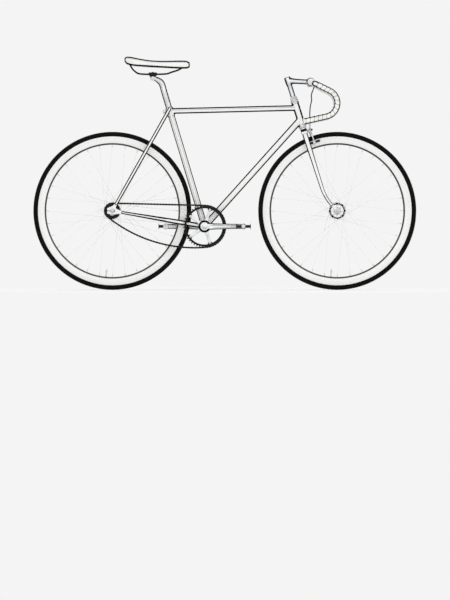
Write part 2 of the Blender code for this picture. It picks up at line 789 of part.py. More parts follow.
def make_seat_stay_bridge():
    """The short tube between the seat stays, just above the tyre, scooped to fit both."""
    along = TYRE_RADIUS + BRIDGE_CLEARANCE
    centre = REAR_AXLE + along * UP_SEAT_STAY
    reach = seat_stay_offset(along) * Y_AXIS
    bridge = rod(centre - reach, centre + reach, BRIDGE_RADIUS, 12)
    for side in (-1, 1):
        stay = bent_tube(seat_stay_path(side), SEAT_STAY_RADIUS + 1.3 * GAP, 3)
        bridge = cut(bridge, stay)
    part("seat_stay_bridge", bridge, FRAME_BODY, "frame_paint")


def make_rear_dropout(name, side):
    """A track end: a slot that opens to the rear, with a tongue for each stay."""
    slot = REAR_AXLE_RADIUS + GAP
    half = STAY_END_RADIUS - 0.0003
    stay_x, stay_z = -TO_AXLE.x, -TO_AXLE.z
    up_x, up_z = UP_SEAT_STAY.x, UP_SEAT_STAY.z
    low = CHAIN_STAY_TONGUE
    high = SEAT_STAY_TONGUE
    outline = [
        (-0.020, -slot),
        (-0.021, -0.012),
        (0.012, -0.015),
        (low * stay_x + half * stay_z, low * stay_z - half * stay_x),
        (low * stay_x - half * stay_z, low * stay_z + half * stay_x),
        (0.021, 0.010),
        (high * up_x + half * up_z, high * up_z - half * up_x),
        (high * up_x - half * up_z, high * up_z + half * up_x),
        (-0.004, 0.015),
        (-0.021, 0.012),
        (-0.020, slot),
    ]
    outline += arc((0.007, 0.0), slot, math.pi / 2, -math.pi / 2, 6)
    centre = REAR_AXLE + side * (REAR_SPACING + DROPOUT_THICKNESS) / 2 * Y_AXIS
    dropout = plate([outline], plane_matrix(centre, X_AXIS, Z_AXIS), DROPOUT_THICKNESS)
    part(name, dropout, FRAME_BODY, "frame_paint")


def make_headset_cup(name, base, axis, height):
    """A pressed cup: a sleeve inside the head tube and a bowl outside it."""
    inner = bore(STEERER_RADIUS, HEAD_SIDES)
    profile = [
        (inner, -CUP_INSERT_DEPTH),
        (CUP_INSERT_RADIUS, -CUP_INSERT_DEPTH),
        (CUP_INSERT_RADIUS, GAP),
        (HEADSET_RADIUS - 0.0015, GAP),
        (HEADSET_RADIUS, height),
        (inner, height),
    ]
    part(name, turned(profile, base, axis, HEAD_SIDES), FRAME_BODY, "polished_alloy")


def make_frame():
    make_head_tube()
    make_top_tube()
    make_down_tube()
    make_seat_tube()
    make_binder_bolt()
    make_bottom_bracket_shell()
    make_seat_stay_bridge()
    for name, side in (("left", 1), ("right", -1)):
        make_bottom_bracket_cup("bottom_bracket_cup_" + name, side)
        make_chain_stay("chain_stay_" + name, side)
        make_seat_stay("seat_stay_" + name, side)
        make_rear_dropout("rear_dropout_" + name, side)
    make_headset_cup("headset_upper_cup", steer_point(HEAD_TOP), STEER_UP, UPPER_CUP_HEIGHT)
    make_headset_cup("headset_lower_cup", steer_point(HEAD_LOW), -STEER_UP, LOWER_CUP_HEIGHT)


# Axles, nuts, wheels

def make_axle(name, centre, body, radius, spacing, end_thickness, hub_half_length):
    """A solid axle with a cone and locknut shoulder inside each dropout."""
    inner = hub_half_length + GAP
    outer = spacing / 2 - GAP
    tip = spacing / 2 + end_thickness + AXLE_NUT_LENGTH + AXLE_END
    shoulder = radius + 0.0035
    half = [(shoulder, inner), (shoulder, outer), (radius, outer), (radius, tip), (0.0, tip)]
    left = [(r, -y) for r, y in half[::-1]]
    profile = left + [(radius, -inner), (radius, inner)] + half
    part(name, turned(profile, centre, Y_AXIS, AXLE_SIDES), body, "black_steel")


def make_axle_nut(name, centre, body, radius, start, side):
    """A hexagon nut, clear of the axle's thread by the running fit."""
    inner = centre + side * (start + GAP) * Y_AXIS
    outer = centre + side * (start + AXLE_NUT_LENGTH) * Y_AXIS
    past = 0.002 * side * Y_AXIS
    hole = rod(inner - past, outer + past, bore(radius, AXLE_SIDES), AXLE_SIDES)
    part(name, cut(rod(inner, outer, AXLE_NUT_RADIUS, 6), hole), body, "black_steel")


def ring_scale(sides=WHEEL_FACETS):
    """Corner radius over flat radius of a faceted ring: radii of the wheels are at the flats."""
    return 1.0 / math.cos(math.pi / sides)


def wheel_ring(profile, centre):
    k = ring_scale()
    scaled = [(radius * k, offset) for radius, offset in profile]
    return turned(scaled, centre, Y_AXIS, WHEEL_FACETS, math.pi / WHEEL_FACETS)


def make_tyre(name, centre, body):
    """Tread flat at the contact patch, full sidewalls, beads on the rim's shoulders."""
    seat = RIM_OUTER_RADIUS + GAP
    height = TYRE_RADIUS - seat
    width = TYRE_WIDTH / 2
    half = [
        (seat, RIM_WIDTH / 2 - 0.0003),
        (seat + 0.45 * height, width),
        (TYRE_RADIUS, width * 0.45),
    ]
    profile = half + [(radius, -offset) for radius, offset in half[::-1]]
    part(name, wheel_ring(profile, centre), body, "tyre_rubber", 50)


def make_rim(name, centre, body):
    """A deep V section with parallel brake tracks."""
    half = [
        (RIM_INNER_RADIUS, RIM_TIP_WIDTH / 2),
        (RIM_OUTER_RADIUS - BRAKE_TRACK_DEPTH, RIM_WIDTH / 2),
        (RIM_OUTER_RADIUS, RIM_WIDTH / 2),
    ]
    profile = half + [(radius, -offset) for radius, offset in half[::-1]]
    part(name, wheel_ring(profile, centre), body, "rim_white")


def spoke_ends(k, flange_offset):
    """Both ends of spoke k: in its flange's edge, and a gap short of the rim."""
    rim_angle = 2 * math.pi * k / SPOKE_COUNT - math.pi / 2
    side = 1 if k % 2 == 0 else -1
    leading = 1 if (k // 2) % 2 == 0 else -1
    hub_angle = rim_angle + leading * SPOKE_CROSSES * 4 * math.pi / SPOKE_COUNT
    hole = FLANGE_RADIUS - 0.0035
    rim = RIM_INNER_RADIUS - GAP
    hub_end = Vector((
        hole * math.cos(hub_angle),
        side * flange_offset + leading * SPOKE_PLANE_OFFSET,
        hole * math.sin(hub_angle),
    ))
    rim_end = Vector((
        rim * math.cos(rim_angle),
        leading * SPOKE_PLANE_OFFSET,
        rim * math.sin(rim_angle),
    ))
    return hub_end, rim_end


def spoke(k, centre, flange_offset):
    """One three-sided spoke that starts just inside the flange's edge."""
    hub_end, rim_end = spoke_ends(k, flange_offset)
    span = rim_end - hub_end
    direction = span.normalized()
    flat = Vector((hub_end.x, 0.0, hub_end.z))
    run = Vector((direction.x, 0.0, direction.z))
    bite = FLANGE_RADIUS - 0.0020
    b = flat.dot(run)
    a = run.dot(run)
    c = flat.dot(flat) - bite ** 2
    start = hub_end + (-b + math.sqrt(b * b - a * c)) / a * direction
    tip = rim_end - 0.0004 * direction
    return rod(centre + start, centre + tip, SPOKE_RADIUS, 3)


def make_hub(name, centre, body, axle_radius, flange_offset, half_length, thread=None):
    """A high-flange hub with its crossed spokes; thread adds the steps for cog and lockring."""
    f = flange_offset
    t = FLANGE_THICKNESS / 2
    inner = bore(axle_radius, HUB_SIDES)
    right = [
        (inner, -half_length),
        (HUB_NECK_RADIUS, -half_length),
        (HUB_NECK_RADIUS, -f - t),
        (FLANGE_RADIUS, -f - t),
        (FLANGE_RADIUS, -f + t),
        (HUB_BARREL_RADIUS, -f + t),
    ]
    left = [(radius, -offset) for radius, offset in right[::-1]]
    if thread:
        cog_end, ring_end = thread
        right = [
            (inner, -ring_end),
            (LOCKRING_THREAD_RADIUS, -ring_end),
            (LOCKRING_THREAD_RADIUS, -cog_end),
            (COG_THREAD_RADIUS, -cog_end),
            (COG_THREAD_RADIUS, -f - t),
        ] + right[3:]
    hub = turned(right + left, centre, Y_AXIS, HUB_SIDES)
    spokes = bmesh.new()
    for k in range(SPOKE_COUNT):
        wire = spoke(k, centre, f)
        spokes.from_mesh(wire.data)
        bpy.data.objects.remove(wire, do_unlink=True)
    hub = join(hub, blank_from_bmesh(spokes))
    part(name, hub, body, "polished_alloy")


def make_wheels():
    make_tyre("front_tyre", FRONT_AXLE, FRONT_WHEEL_BODY)
    make_rim("front_rim", FRONT_AXLE, FRONT_WHEEL_BODY)
    make_hub(
        "front_hub", FRONT_AXLE, FRONT_WHEEL_BODY,
        FRONT_AXLE_RADIUS, FRONT_FLANGE_OFFSET, FRONT_HUB_HALF_LENGTH,
    )
    make_axle(
        "front_axle", FRONT_AXLE, FORK_BODY, FRONT_AXLE_RADIUS,
        FRONT_SPACING, FORK_END_THICKNESS, FRONT_HUB_HALF_LENGTH,
    )
    make_tyre("rear_tyre", REAR_AXLE, REAR_WHEEL_BODY)
    make_rim("rear_rim", REAR_AXLE, REAR_WHEEL_BODY)
    make_hub(
        "rear_hub", REAR_AXLE, REAR_WHEEL_BODY,
        REAR_AXLE_RADIUS, REAR_FLANGE_OFFSET, REAR_HUB_HALF_LENGTH,
        (CHAIN_LINE + 0.0035, REAR_HUB_HALF_LENGTH),
    )
    make_axle(
        "rear_axle", REAR_AXLE, FRAME_BODY, REAR_AXLE_RADIUS,
        REAR_SPACING, DROPOUT_THICKNESS, REAR_HUB_HALF_LENGTH,
    )
    for name, side in (("left", 1), ("right", -1)):
        make_axle_nut(
            "front_axle_nut_" + name, FRONT_AXLE, FORK_BODY, FRONT_AXLE_RADIUS,
            FRONT_SPACING / 2 + FORK_END_THICKNESS, side,
        )
        make_axle_nut(
            "rear_axle_nut_" + name, REAR_AXLE, FRAME_BODY, REAR_AXLE_RADIUS,
            REAR_SPACING / 2 + DROPOUT_THICKNESS, side,
        )


# Chain and sprockets

def sprocket_outline(teeth, pitch_radius, phase):
    """Tooth outline with a pin's valley centred at the phase angle."""
    points = []
    step = 2 * math.pi / teeth
    root = pitch_radius - TOOTH_DEPTH
    tip = pitch_radius + TOOTH_HEIGHT
    root_turn = math.atan2(VALLEY_HALF, root)
    root_radius = math.hypot(root, VALLEY_HALF)
    for i in range(teeth):
        valley = phase + i * step
        for radius, angle in (
            (root_radius, valley - root_turn),
            (root_radius, valley + root_turn),
            (tip, valley + step / 2),
        ):
            points.append((radius * math.cos(angle), radius * math.sin(angle)))
    return points


def pin_on(centre, radius, angle):
    """A pin's place on a sprocket, in the plane of the chain."""
    return centre + radius * Vector((math.cos(angle), math.sin(angle)))


def chain_plan():
    """Pin centres (x, z) round both sprockets, and the phase of each sprocket's teeth.

    The top run is straight and a whole number of pitches long. The chain has the next even
    number of links, so the bottom run hangs slack, in chords of one pitch on an arc.
    """
    ring = Vector((BB.x, BB.z))
    cog = Vector((REAR_AXLE.x, REAR_AXLE.z))
    big, small, p = CHAINRING_PITCH_RADIUS, COG_PITCH_RADIUS, CHAIN_PITCH
    apart = (cog - ring).length
    line = math.atan2(cog.y - ring.y, cog.x - ring.x)
    lean = math.acos((big - small) / apart)
    ring_top = line - lean
    first = pin_on(ring, big, ring_top)
    top_count = round(math.sqrt(apart ** 2 - (big - small) ** 2) / p)
    low, high = ring_top - 0.4, ring_top + 0.4
    for _ in range(60):
        middle = (low + high) / 2
        if (pin_on(cog, small, middle) - first).length < top_count * p:
            low = middle
        else:
            high = middle
    cog_top = middle
    nominal = 2 * apart / p + (CHAINRING_TEETH + COG_TEETH) / 2
    nominal += ((CHAINRING_TEETH - COG_TEETH) / (2 * math.pi)) ** 2 * p / apart
    links = 2 * math.ceil(nominal / 2)

    best = None
    for on_ring in range(CHAINRING_TEETH // 3, CHAINRING_TEETH):
        for on_cog in range(COG_TEETH // 4, COG_TEETH):
            slack = links - top_count - on_ring - on_cog
            ring_low = pin_on(ring, big, ring_top - on_ring * 2 * math.pi / CHAINRING_TEETH)
            cog_low = pin_on(cog, small, cog_top + on_cog * 2 * math.pi / COG_TEETH)
            chord = cog_low - ring_low
            if slack * p <= chord.length or slack < 8:
                continue
            bow = sag_turn(chord.length, slack)
            heading = math.atan2(chord.y, chord.x)
            leave = wrap(heading + bow * (slack - 1) / 2)
            arrive = wrap(heading - bow * (slack - 1) / 2)
            first_free = pin_on(ring_low, p, leave)
            last_free = pin_on(cog_low, -p, arrive)
            if (first_free - ring).length < big or (last_free - cog).length < small:
                continue
            ring_step = 2 * math.pi / CHAINRING_TEETH
            cog_step = 2 * math.pi / COG_TEETH
            ring_way = wrap(ring_top - on_ring * ring_step - math.pi / 2 - (ring_step + bow) / 2)
            cog_way = wrap(cog_top + on_cog * cog_step - math.pi / 2 + (cog_step + bow) / 2)
            miss_ring = wrap(leave - ring_way)
            miss_cog = wrap(cog_way - arrive)
            score = abs(miss_ring) + abs(miss_cog)
            if best is None or score < best[0]:
                best = (score, on_ring, on_cog, slack, ring_low, cog_low, bow, heading)
    _, on_ring, on_cog, slack, ring_low, cog_low, bow, heading = best

    pins = [first + (pin_on(cog, small, cog_top) - first) * i / top_count for i in range(top_count)]
    pins += [
        pin_on(cog, small, cog_top + i * 2 * math.pi / COG_TEETH) for i in range(on_cog)
    ]
    lower = [ring_low]
    turn = heading + bow * (slack - 1) / 2
    for _ in range(slack):
        lower.append(lower[-1] + p * Vector((math.cos(turn), math.sin(turn))))
        turn -= bow
    pins += lower[1:][::-1]
    pins += [
        pin_on(ring, big, ring_top - (on_ring - i) * 2 * math.pi / CHAINRING_TEETH)
        for i in range(on_ring)
    ]
    return pins, ring_top, cog_top


def wrap(angle):
    return (angle + math.pi) % (2 * math.pi) - math.pi


def sag_turn(chord, count):
    """Turn between neighbouring chords of one pitch whose count of them spans the chord."""
    low, high = 1e-6, 2 * math.pi / count
    for _ in range(60):
        turn = (low + high) / 2
        if CHAIN_PITCH * math.sin(count * turn / 2) / math.sin(turn / 2) > chord:
            low = turn
        else:
            high = turn
    return turn


def chain_block(bm, pin, along, across, outer_ahead):
    """The links' eyes round one pin, where a pair of outer plates meets a pair of inner ones."""
    half_inner = CHAIN_INNER_WIDTH / 2
    half_outer = half_inner + CHAIN_PLATE
    half_pin = half_outer + CHAIN_PLATE
    ahead = [-half_pin, -half_outer, half_outer, half_pin]
    behind = [-half_pin, -half_inner, half_inner, half_pin]
    if not outer_ahead:
        ahead, behind = behind, ahead

    def corner(u, y, v):
        return bm.verts.new(pin + u * along + v * across + y * Y_AXIS)

    rows = {}
    for sign in (1, -1):
        height = sign * LINK_WAIST_HALF
        rows["front", sign] = [corner(LINK_BLOCK_HALF, y, height) for y in ahead]
        rows["back", sign] = [corner(-LINK_BLOCK_HALF, y, height) for y in behind]
        ridge = [corner(0.0, y, sign * LINK_HALF_HEIGHT) for y in (-half_pin, half_pin)]
        bm.faces.new(rows["front", sign] + ridge[::-1])
        bm.faces.new(rows["back", sign] + ridge[::-1])
        rows["ridge", sign] = ridge
    for end in (0, -1):
        bm.faces.new((
            rows["front", 1][end], rows["ridge", 1][end], rows["back", 1][end],
            rows["back", -1][end], rows["ridge", -1][end], rows["front", -1][end],
        ))
    for face in ("front", "back"):
        top, low = rows[face, 1], rows[face, -1]
        bm.faces.new((top[1], top[2], low[2], low[1]))
    return rows


def chain_plates(bm, front, back):
    """The pair of plates between two blocks."""
    for a, b in ((0, 1), (2, 3)):
        loop = [front[1][a], front[1][b], front[-1][b], front[-1][a]]
        other = [back[1][a], back[1][b], back[-1][b], back[-1][a]]
        for i in range(4):
            j = (i + 1) % 4
            bm.faces.new((loop[i], loop[j], other[j], other[i]))


def make_chain(pins):
    """All the links as one loop: inner and outer plates take turns, one block at each pin."""
    bm = bmesh.new()
    count = len(pins)
    centres = [Vector((pin.x, -CHAIN_LINE, pin.y)) for pin in pins]
    blocks = []
    for i, centre in enumerate(centres):
        along = (centres[(i + 1) % count] - centres[i - 1]).normalized()
        across = along.cross(Y_AXIS)
        blocks.append(chain_block(bm, centre, along, across, i % 2 == 0))
    for i, block in enumerate(blocks):
        following = blocks[(i + 1) % count]
        front = {sign: block["front", sign] for sign in (1, -1)}
        back = {sign: following["back", sign] for sign in (1, -1)}
        chain_plates(bm, front, back)
    bmesh.ops.recalc_face_normals(bm, faces=bm.faces)
    part("chain", blank_from_bmesh(bm), FRAME_BODY, "chain_steel", 25)


def chainring_inner_edge():
    """The ring's inside, with a tab for each bolt of the spider."""
    points = []
    tab_turn = RING_TAB_HALF_WIDTH / CHAINRING_INNER_RADIUS
    tip_turn = 0.6 * RING_TAB_HALF_WIDTH / RING_BOLT_RADIUS
    tab_radius = RING_BOLT_RADIUS - 0.0055
    step = 2 * math.pi / SPIDER_ARMS
    for i in range(SPIDER_ARMS):
        middle = i * step
        points.append((tab_radius, middle - tip_turn))
        points.append((tab_radius, middle + tip_turn))
        for k in range(5):
            angle = middle + tab_turn + (step - 2 * tab_turn) * k / 4
            points.append((CHAINRING_INNER_RADIUS, angle))
    return [(radius * math.cos(angle), radius * math.sin(angle)) for radius, angle in points]


def make_chainring(phase):
    outline = sprocket_outline(CHAINRING_TEETH, CHAINRING_PITCH_RADIUS, phase)
    centre = BB - CHAIN_LINE * Y_AXIS
    matrix = plane_matrix(centre, X_AXIS, Z_AXIS)
    ring = plate([outline, chainring_inner_edge()], matrix, TOOTH_THICKNESS)
    part("chainring", ring, CRANK_BODY, "black_steel")


def make_cog(phase):
    """A sprocket with the wide threaded boss that screws on the hub."""
    centre = REAR_AXLE - CHAIN_LINE * Y_AXIS
    outline = sprocket_outline(COG_TEETH, COG_PITCH_RADIUS, phase)
    teeth = plate([outline], plane_matrix(centre, X_AXIS, Z_AXIS), TOOTH_THICKNESS)
    boss = rod(centre + 0.0055 * Y_AXIS, centre - 0.0022 * Y_AXIS, 0.0220, HUB_SIDES)
    hole = rod(
        centre + 0.010 * Y_AXIS,
        centre - 0.010 * Y_AXIS,
        bore(COG_THREAD_RADIUS, HUB_SIDES),
        HUB_SIDES,
    )
    part("rear_cog", cut(join(teeth, boss), hole), REAR_WHEEL_BODY, "black_steel")


def make_cog_lockring():
    inner = bore(LOCKRING_THREAD_RADIUS, HUB_SIDES)
    start = CHAIN_LINE + 0.0035 + GAP
    profile = [
        (inner, start),
        (0.0205, start),
        (0.0190, start + 0.0045),
        (inner, start + 0.0045),
    ]
    ring = turned(profile, REAR_AXLE, -Y_AXIS, HUB_SIDES)
    part("cog_lockring", ring, REAR_WHEEL_BODY, "black_steel")


def make_drive():
    pins, ring_phase, cog_phase = chain_plan()
    make_chain(pins)
    make_chainring(ring_phase)
    make_cog(cog_phase)
    make_cog_lockring()


# Cranks and pedals

def make_spindle():
    """A round bottom bracket spindle with a square at each end for the cranks."""
    reach = CRANK_BOSS_INNER - 0.0015
    spindle = rod(BB - reach * Y_AXIS, BB + reach * Y_AXIS, SPINDLE_RADIUS, 16)
    for side in (-1, 1):
        start = BB + side * (reach - GAP) * Y_AXIS
        end = BB + side * SPINDLE_HALF_LENGTH * Y_AXIS
        spindle = join(spindle, rod(start, end, SPINDLE_SQUARE / math.sqrt(2), 4))
    part("bottom_bracket_spindle", spindle, CRANK_BODY, "black_steel")


def crank_arm(side):
    """The tapered arm with its boss, pedal eye, square hole and pedal thread."""
    forward = -side * X_AXIS
    eye = BB + CRANK_LENGTH * forward + side * CRANK_PLANE * Y_AXIS
    stations = [(0.006, 1.0), (0.050, 0.92), (CRANK_LENGTH - 0.004, 0.74)]
    loops = []
    for along, share in stations:
        centre = BB + along * forward + side * CRANK_PLANE * Y_AXIS
        loops.append(oval(centre, Z_AXIS, Y_AXIS, 0.0145 * share, CRANK_THICKNESS / 2, 8))
    outer = CRANK_PLANE + CRANK_THICKNESS / 2 + 0.0005
    inner_eye = CRANK_PLANE - CRANK_THICKNESS / 2 - 0.0005
    boss = rod(BB + side * CRANK_BOSS_INNER * Y_AXIS, BB + side * outer * Y_AXIS, CRANK_BOSS_RADIUS, 16)
    pedal_end = rod(
        eye + side * (inner_eye - CRANK_PLANE) * Y_AXIS,
        eye + side * (outer - CRANK_PLANE) * Y_AXIS,
        PEDAL_EYE_RADIUS,
        12,
    )
    square = rod(
        BB + side * (CRANK_BOSS_INNER - 0.005) * Y_AXIS,
        BB + side * (SPINDLE_HALF_LENGTH + 0.0010) * Y_AXIS,
        SPINDLE_SQUARE / math.sqrt(2) + GAP * math.sqrt(2),
        4,
    )
    thread = rod(
        eye - 0.020 * Y_AXIS,
        eye + 0.020 * Y_AXIS,
        bore(PEDAL_THREAD_RADIUS, 12),
        12,
    )
    return join(loft(loops), boss, pedal_end), square, thread


def spider_outline():
    """Five arms that taper towards the chainring's bolts."""
    points = []
    step = 2 * math.pi / SPIDER_ARMS
    tip_radius = RING_BOLT_RADIUS + 0.0065
    for i in range(SPIDER_ARMS):
        middle = i * step
        for radius, turn in (
            (0.0260, -0.36),
            (tip_radius, -0.085),
            (tip_radius, 0.085),
            (0.0260, 0.36),
        ):
            points.append((radius, middle + turn))
    return [(radius * math.cos(angle), radius * math.sin(angle)) for radius, angle in points]


def make_cranks():
    left, square, thread = crank_arm(1)
    part("crank_left", cut(left, square, thread), CRANK_BODY, "polished_alloy")
    right, square, thread = crank_arm(-1)
    ring_face = CHAIN_LINE + TOOTH_THICKNESS / 2 + GAP
    centre = BB - (ring_face + SPIDER_THICKNESS / 2) * Y_AXIS
    spider = plate([spider_outline()], plane_matrix(centre, X_AXIS, Z_AXIS), SPIDER_THICKNESS)
    right = cut(join(right, spider), square, thread)
    part("crank_right", right, CRANK_BODY, "polished_alloy")


def make_pedal_axle(name, eye, side):
    """A pedal axle: thread in the crank's eye, a flange against it, and the long bearing pin."""
    eye_face = CRANK_THICKNESS / 2 + 0.0005
    profile = [
        (0.0, -eye_face),
        (PEDAL_THREAD_RADIUS, -eye_face),
        (PEDAL_THREAD_RADIUS, eye_face + GAP),
        (PEDAL_THREAD_RADIUS + 0.0020, eye_face + GAP),
        (PEDAL_THREAD_RADIUS + 0.0020, PEDAL_INNER - CRANK_PLANE - GAP),
        (PEDAL_AXLE_RADIUS, PEDAL_INNER - CRANK_PLANE - GAP),
        (PEDAL_AXLE_RADIUS, PEDAL_OUTER - CRANK_PLANE - 0.006),
        (0.0, PEDAL_OUTER - CRANK_PLANE - 0.006),
    ]
    part(name, turned(profile, eye, side * Y_AXIS, 8), CRANK_BODY, "black_steel")


def make_pedal(name, eye, side, body):
    """A slim cage pedal: a barrel on the axle, two long plates and two end bridges."""
    inner = PEDAL_INNER - CRANK_PLANE
    outer = PEDAL_OUTER - CRANK_PLANE
    middle = (inner + outer) / 2
    depth = outer - inner
    barrel = rod(eye + side * inner * Y_AXIS, eye + side * outer * Y_AXIS, 0.0095, 8)
    cage = []
    for end in (-1, 1):
        place = eye + side * middle * Y_AXIS + end * (PEDAL_HALF_LENGTH - PEDAL_PLATE / 2) * X_AXIS
        cage.append(box(place, (PEDAL_PLATE, depth - 0.004, 2 * PEDAL_HALF_HEIGHT)))
    for offset in (inner + 0.0065, outer - 0.0055):
        place = eye + side * offset * Y_AXIS
        cage.append(box(place, (2 * PEDAL_HALF_LENGTH - 0.001, 0.0030, 0.0125)))
    pedal = join(barrel, *cage)
    hole = rod(
        eye + side * (inner - 0.005) * Y_AXIS,
        eye + side * (outer - 0.0055) * Y_AXIS,
        bore(PEDAL_AXLE_RADIUS, 8),
        8,
    )
    part(name, cut(pedal, hole), body, "black_steel")


def make_cranks_and_pedals():
    make_spindle()
    make_cranks()
    make_pedal_axle("pedal_axle_left", PEDAL_LEFT_AXIS, 1)
    make_pedal_axle("pedal_axle_right", PEDAL_RIGHT_AXIS, -1)
    make_pedal("pedal_left", PEDAL_LEFT_AXIS, 1, PEDAL_LEFT_BODY)
    make_pedal("pedal_right", PEDAL_RIGHT_AXIS, -1, PEDAL_RIGHT_BODY)


# Fork, headset, stem

def make_fork_crown():
    """The crown with its hollow steerer; the crown race is the step on top of it."""
    top = HEAD_TOP + UPPER_CUP_HEIGHT + LOCKNUT_HEIGHT - 0.002
    race = HEAD_LOW - LOWER_CUP_HEIGHT - GAP
    profile = [
        (0.0, AXLE_TO_CROWN - 0.004),
        (0.0155, AXLE_TO_CROWN - 0.004),
        (0.0155, race - 0.0015),
        (0.0145, race),
        (STEERER_RADIUS, race),
        (STEERER_RADIUS, top),
        (0.0, top),
    ]
    steerer = turned(profile, steer_point(0), STEER_UP, HEAD_SIDES)
    low = AXLE_TO_CROWN - CROWN_HEIGHT
    w = CROWN_HALF_WIDTH
    outline = [
        (w, low),
        (w, low + 0.011),
        (w - 0.007, low + 0.018),
        (0.019, AXLE_TO_CROWN - 0.0015),
        (0.013, AXLE_TO_CROWN),
    ]
    outline += [(-side, height) for side, height in outline[::-1]]
    outline += [(-0.0175, low), (-0.009, low + 0.007), (0.009, low + 0.007), (0.0175, low)]
    matrix = plane_matrix(steer_point(0), Y_AXIS, STEER_UP)
    crown = plate([outline], matrix, 2 * CROWN_HALF_DEPTH)
    quill_room = rod(
        steer_point(HEAD_TOP - QUILL_DEPTH - 0.040),
        steer_point(top + 0.01),
        STEERER_BORE / math.cos(math.pi / HEAD_SIDES),
        HEAD_SIDES,
    )
    bolt_room = rod(
        steer_point(BRAKE_PIVOT_HEIGHT, CROWN_HALF_DEPTH - 0.016),
        steer_point(BRAKE_PIVOT_HEIGHT, CROWN_HALF_DEPTH + 0.005),
        bore(BRAKE_BOLT_RADIUS, 8),
        8,
    )
    fork = cut(join(crown, steerer), quill_room, bolt_room)
    part("fork_crown", fork, FORK_BODY, "frame_paint")


def blade_centre(height, side):
    """The blade's centre line: straight along the steering axis, then swept to the rake."""
    top = AXLE_TO_CROWN - CROWN_HEIGHT
    end = FRONT_SPACING / 2 + FORK_END_THICKNESS / 2
    bend = max(0.0, (BLADE_CURVE_START - height) / BLADE_CURVE_START)
    share = min(max((top - height) / (top - 0.035), 0.0), 1.0)
    offset = BLADE_OFFSET_AT_CROWN + (end - BLADE_OFFSET_AT_CROWN) * share
    return steer_point(height, FORK_RAKE * bend ** 2, side * offset)


def make_fork_blade(name, side):
    """A tapered, raked blade with its slotted end for the axle."""
    top = AXLE_TO_CROWN - CROWN_HEIGHT - GAP
    heights = [top, 0.270, 0.170, 0.115, 0.088, 0.060, 0.038, 0.020]
    loops = []
    for height in heights:
        share = height / top
        depth = 0.0060 + 0.0058 * share
        width = 0.0058 + 0.0022 * share
        above = blade_centre(height + 0.002, side)
        below = blade_centre(height - 0.002, side)
        forward = Y_AXIS.cross(above - below).normalized()
        if height == top:
            forward = STEER_FRONT
        loops.append(oval(blade_centre(height, side), Y_AXIS, forward, width, depth, 10))
    blade = loft(loops)
    plane = side * (FRONT_SPACING + FORK_END_THICKNESS) / 2
    half = FORK_END_THICKNESS / 2
    axle = FRONT_AXLE + plane * Y_AXIS
    eye = rod(axle - half * Y_AXIS, axle + half * Y_AXIS, 0.0125, 12)
    neck_start = blade_centre(0.034, side)
    neck = Vector((axle.x - neck_start.x, 0.0, axle.z - neck_start.z))
    length = neck.length
    direction = neck.normalized()
    strap = box(
        axle - direction * length / 2,
        (length, FORK_END_THICKNESS, 0.0115),
        direction,
        Y_AXIS.cross(direction) * -1,
    )
    slot_down = Vector((0.0, 0.0, -1.0))
    slot_half = FRONT_AXLE_RADIUS + GAP
    slot = box(axle + 0.010 * slot_down, (2 * slot_half, 0.012, 0.020))
    round_end = rod(axle - 0.006 * Y_AXIS, axle + 0.006 * Y_AXIS, bore(FRONT_AXLE_RADIUS, 12, GAP), 12)
    blade = cut(join(blade, eye, strap), slot, round_end)
    part(name, blade, FORK_BODY, "frame_paint")


def make_headset_locknut():
    """The screwed race and its locknut, on the steerer above the upper cup."""
    start = HEAD_TOP + UPPER_CUP_HEIGHT + GAP
    inner = bore(STEERER_RADIUS, HEAD_SIDES)
    lip = bore(QUILL_RADIUS, HEAD_SIDES, 2 * GAP)
    top = start + LOCKNUT_HEIGHT
    steerer_top = HEAD_TOP + UPPER_CUP_HEIGHT + LOCKNUT_HEIGHT - 0.002
    profile = [
        (inner, start),
        (HEADSET_RADIUS - 0.0005, start),
        (HEADSET_RADIUS - 0.0020, start + 0.0060),
        (0.0155, start + 0.0070),
        (0.0150, top),
        (lip, top),
        (lip, steerer_top + GAP),
        (inner, steerer_top + GAP),
    ]
    locknut = turned(profile, steer_point(0), STEER_UP, HEAD_SIDES)
    part("headset_locknut", locknut, FORK_BODY, "polished_alloy")


def make_stem():
    """A quill stem: the quill in the steerer, the level extension and the bar clamp."""
    corner = HEAD_TOP + STEM_RISE + 0.0340
    quill = rod(steer_point(HEAD_TOP - QUILL_DEPTH), steer_point(corner), QUILL_RADIUS, 16)
    head = turned(
        [
            (0.0, corner - 0.022),
            (QUILL_RADIUS + 0.0010, corner - 0.022),
            (QUILL_RADIUS + 0.0030, corner - 0.012),
            (QUILL_RADIUS + 0.0030, corner + 0.0135),
            (QUILL_RADIUS + 0.0010, corner + 0.0165),
            (0.0, corner + 0.0165),
        ],
        steer_point(0),
        STEER_UP,
        12,
    )
    extension = rod(steer_point(corner), BAR_CENTRE, STEM_BAR_RADIUS + 0.0010, 12, STEM_BAR_RADIUS - 0.0010)
    half = STEM_CLAMP_HALF_WIDTH * Y_AXIS
    clamp = rod(BAR_CENTRE - half, BAR_CENTRE + half, STEM_CLAMP_RADIUS, 16)
    hole = rod(BAR_CENTRE - 1.5 * half, BAR_CENTRE + 1.5 * half, bore(BAR_RADIUS + BAR_BULGE, 16, GAP), 16)
    stem = cut(join(quill, head, extension, clamp), hole)
    part("stem", stem, FORK_BODY, "polished_alloy")


# Handlebar and tape

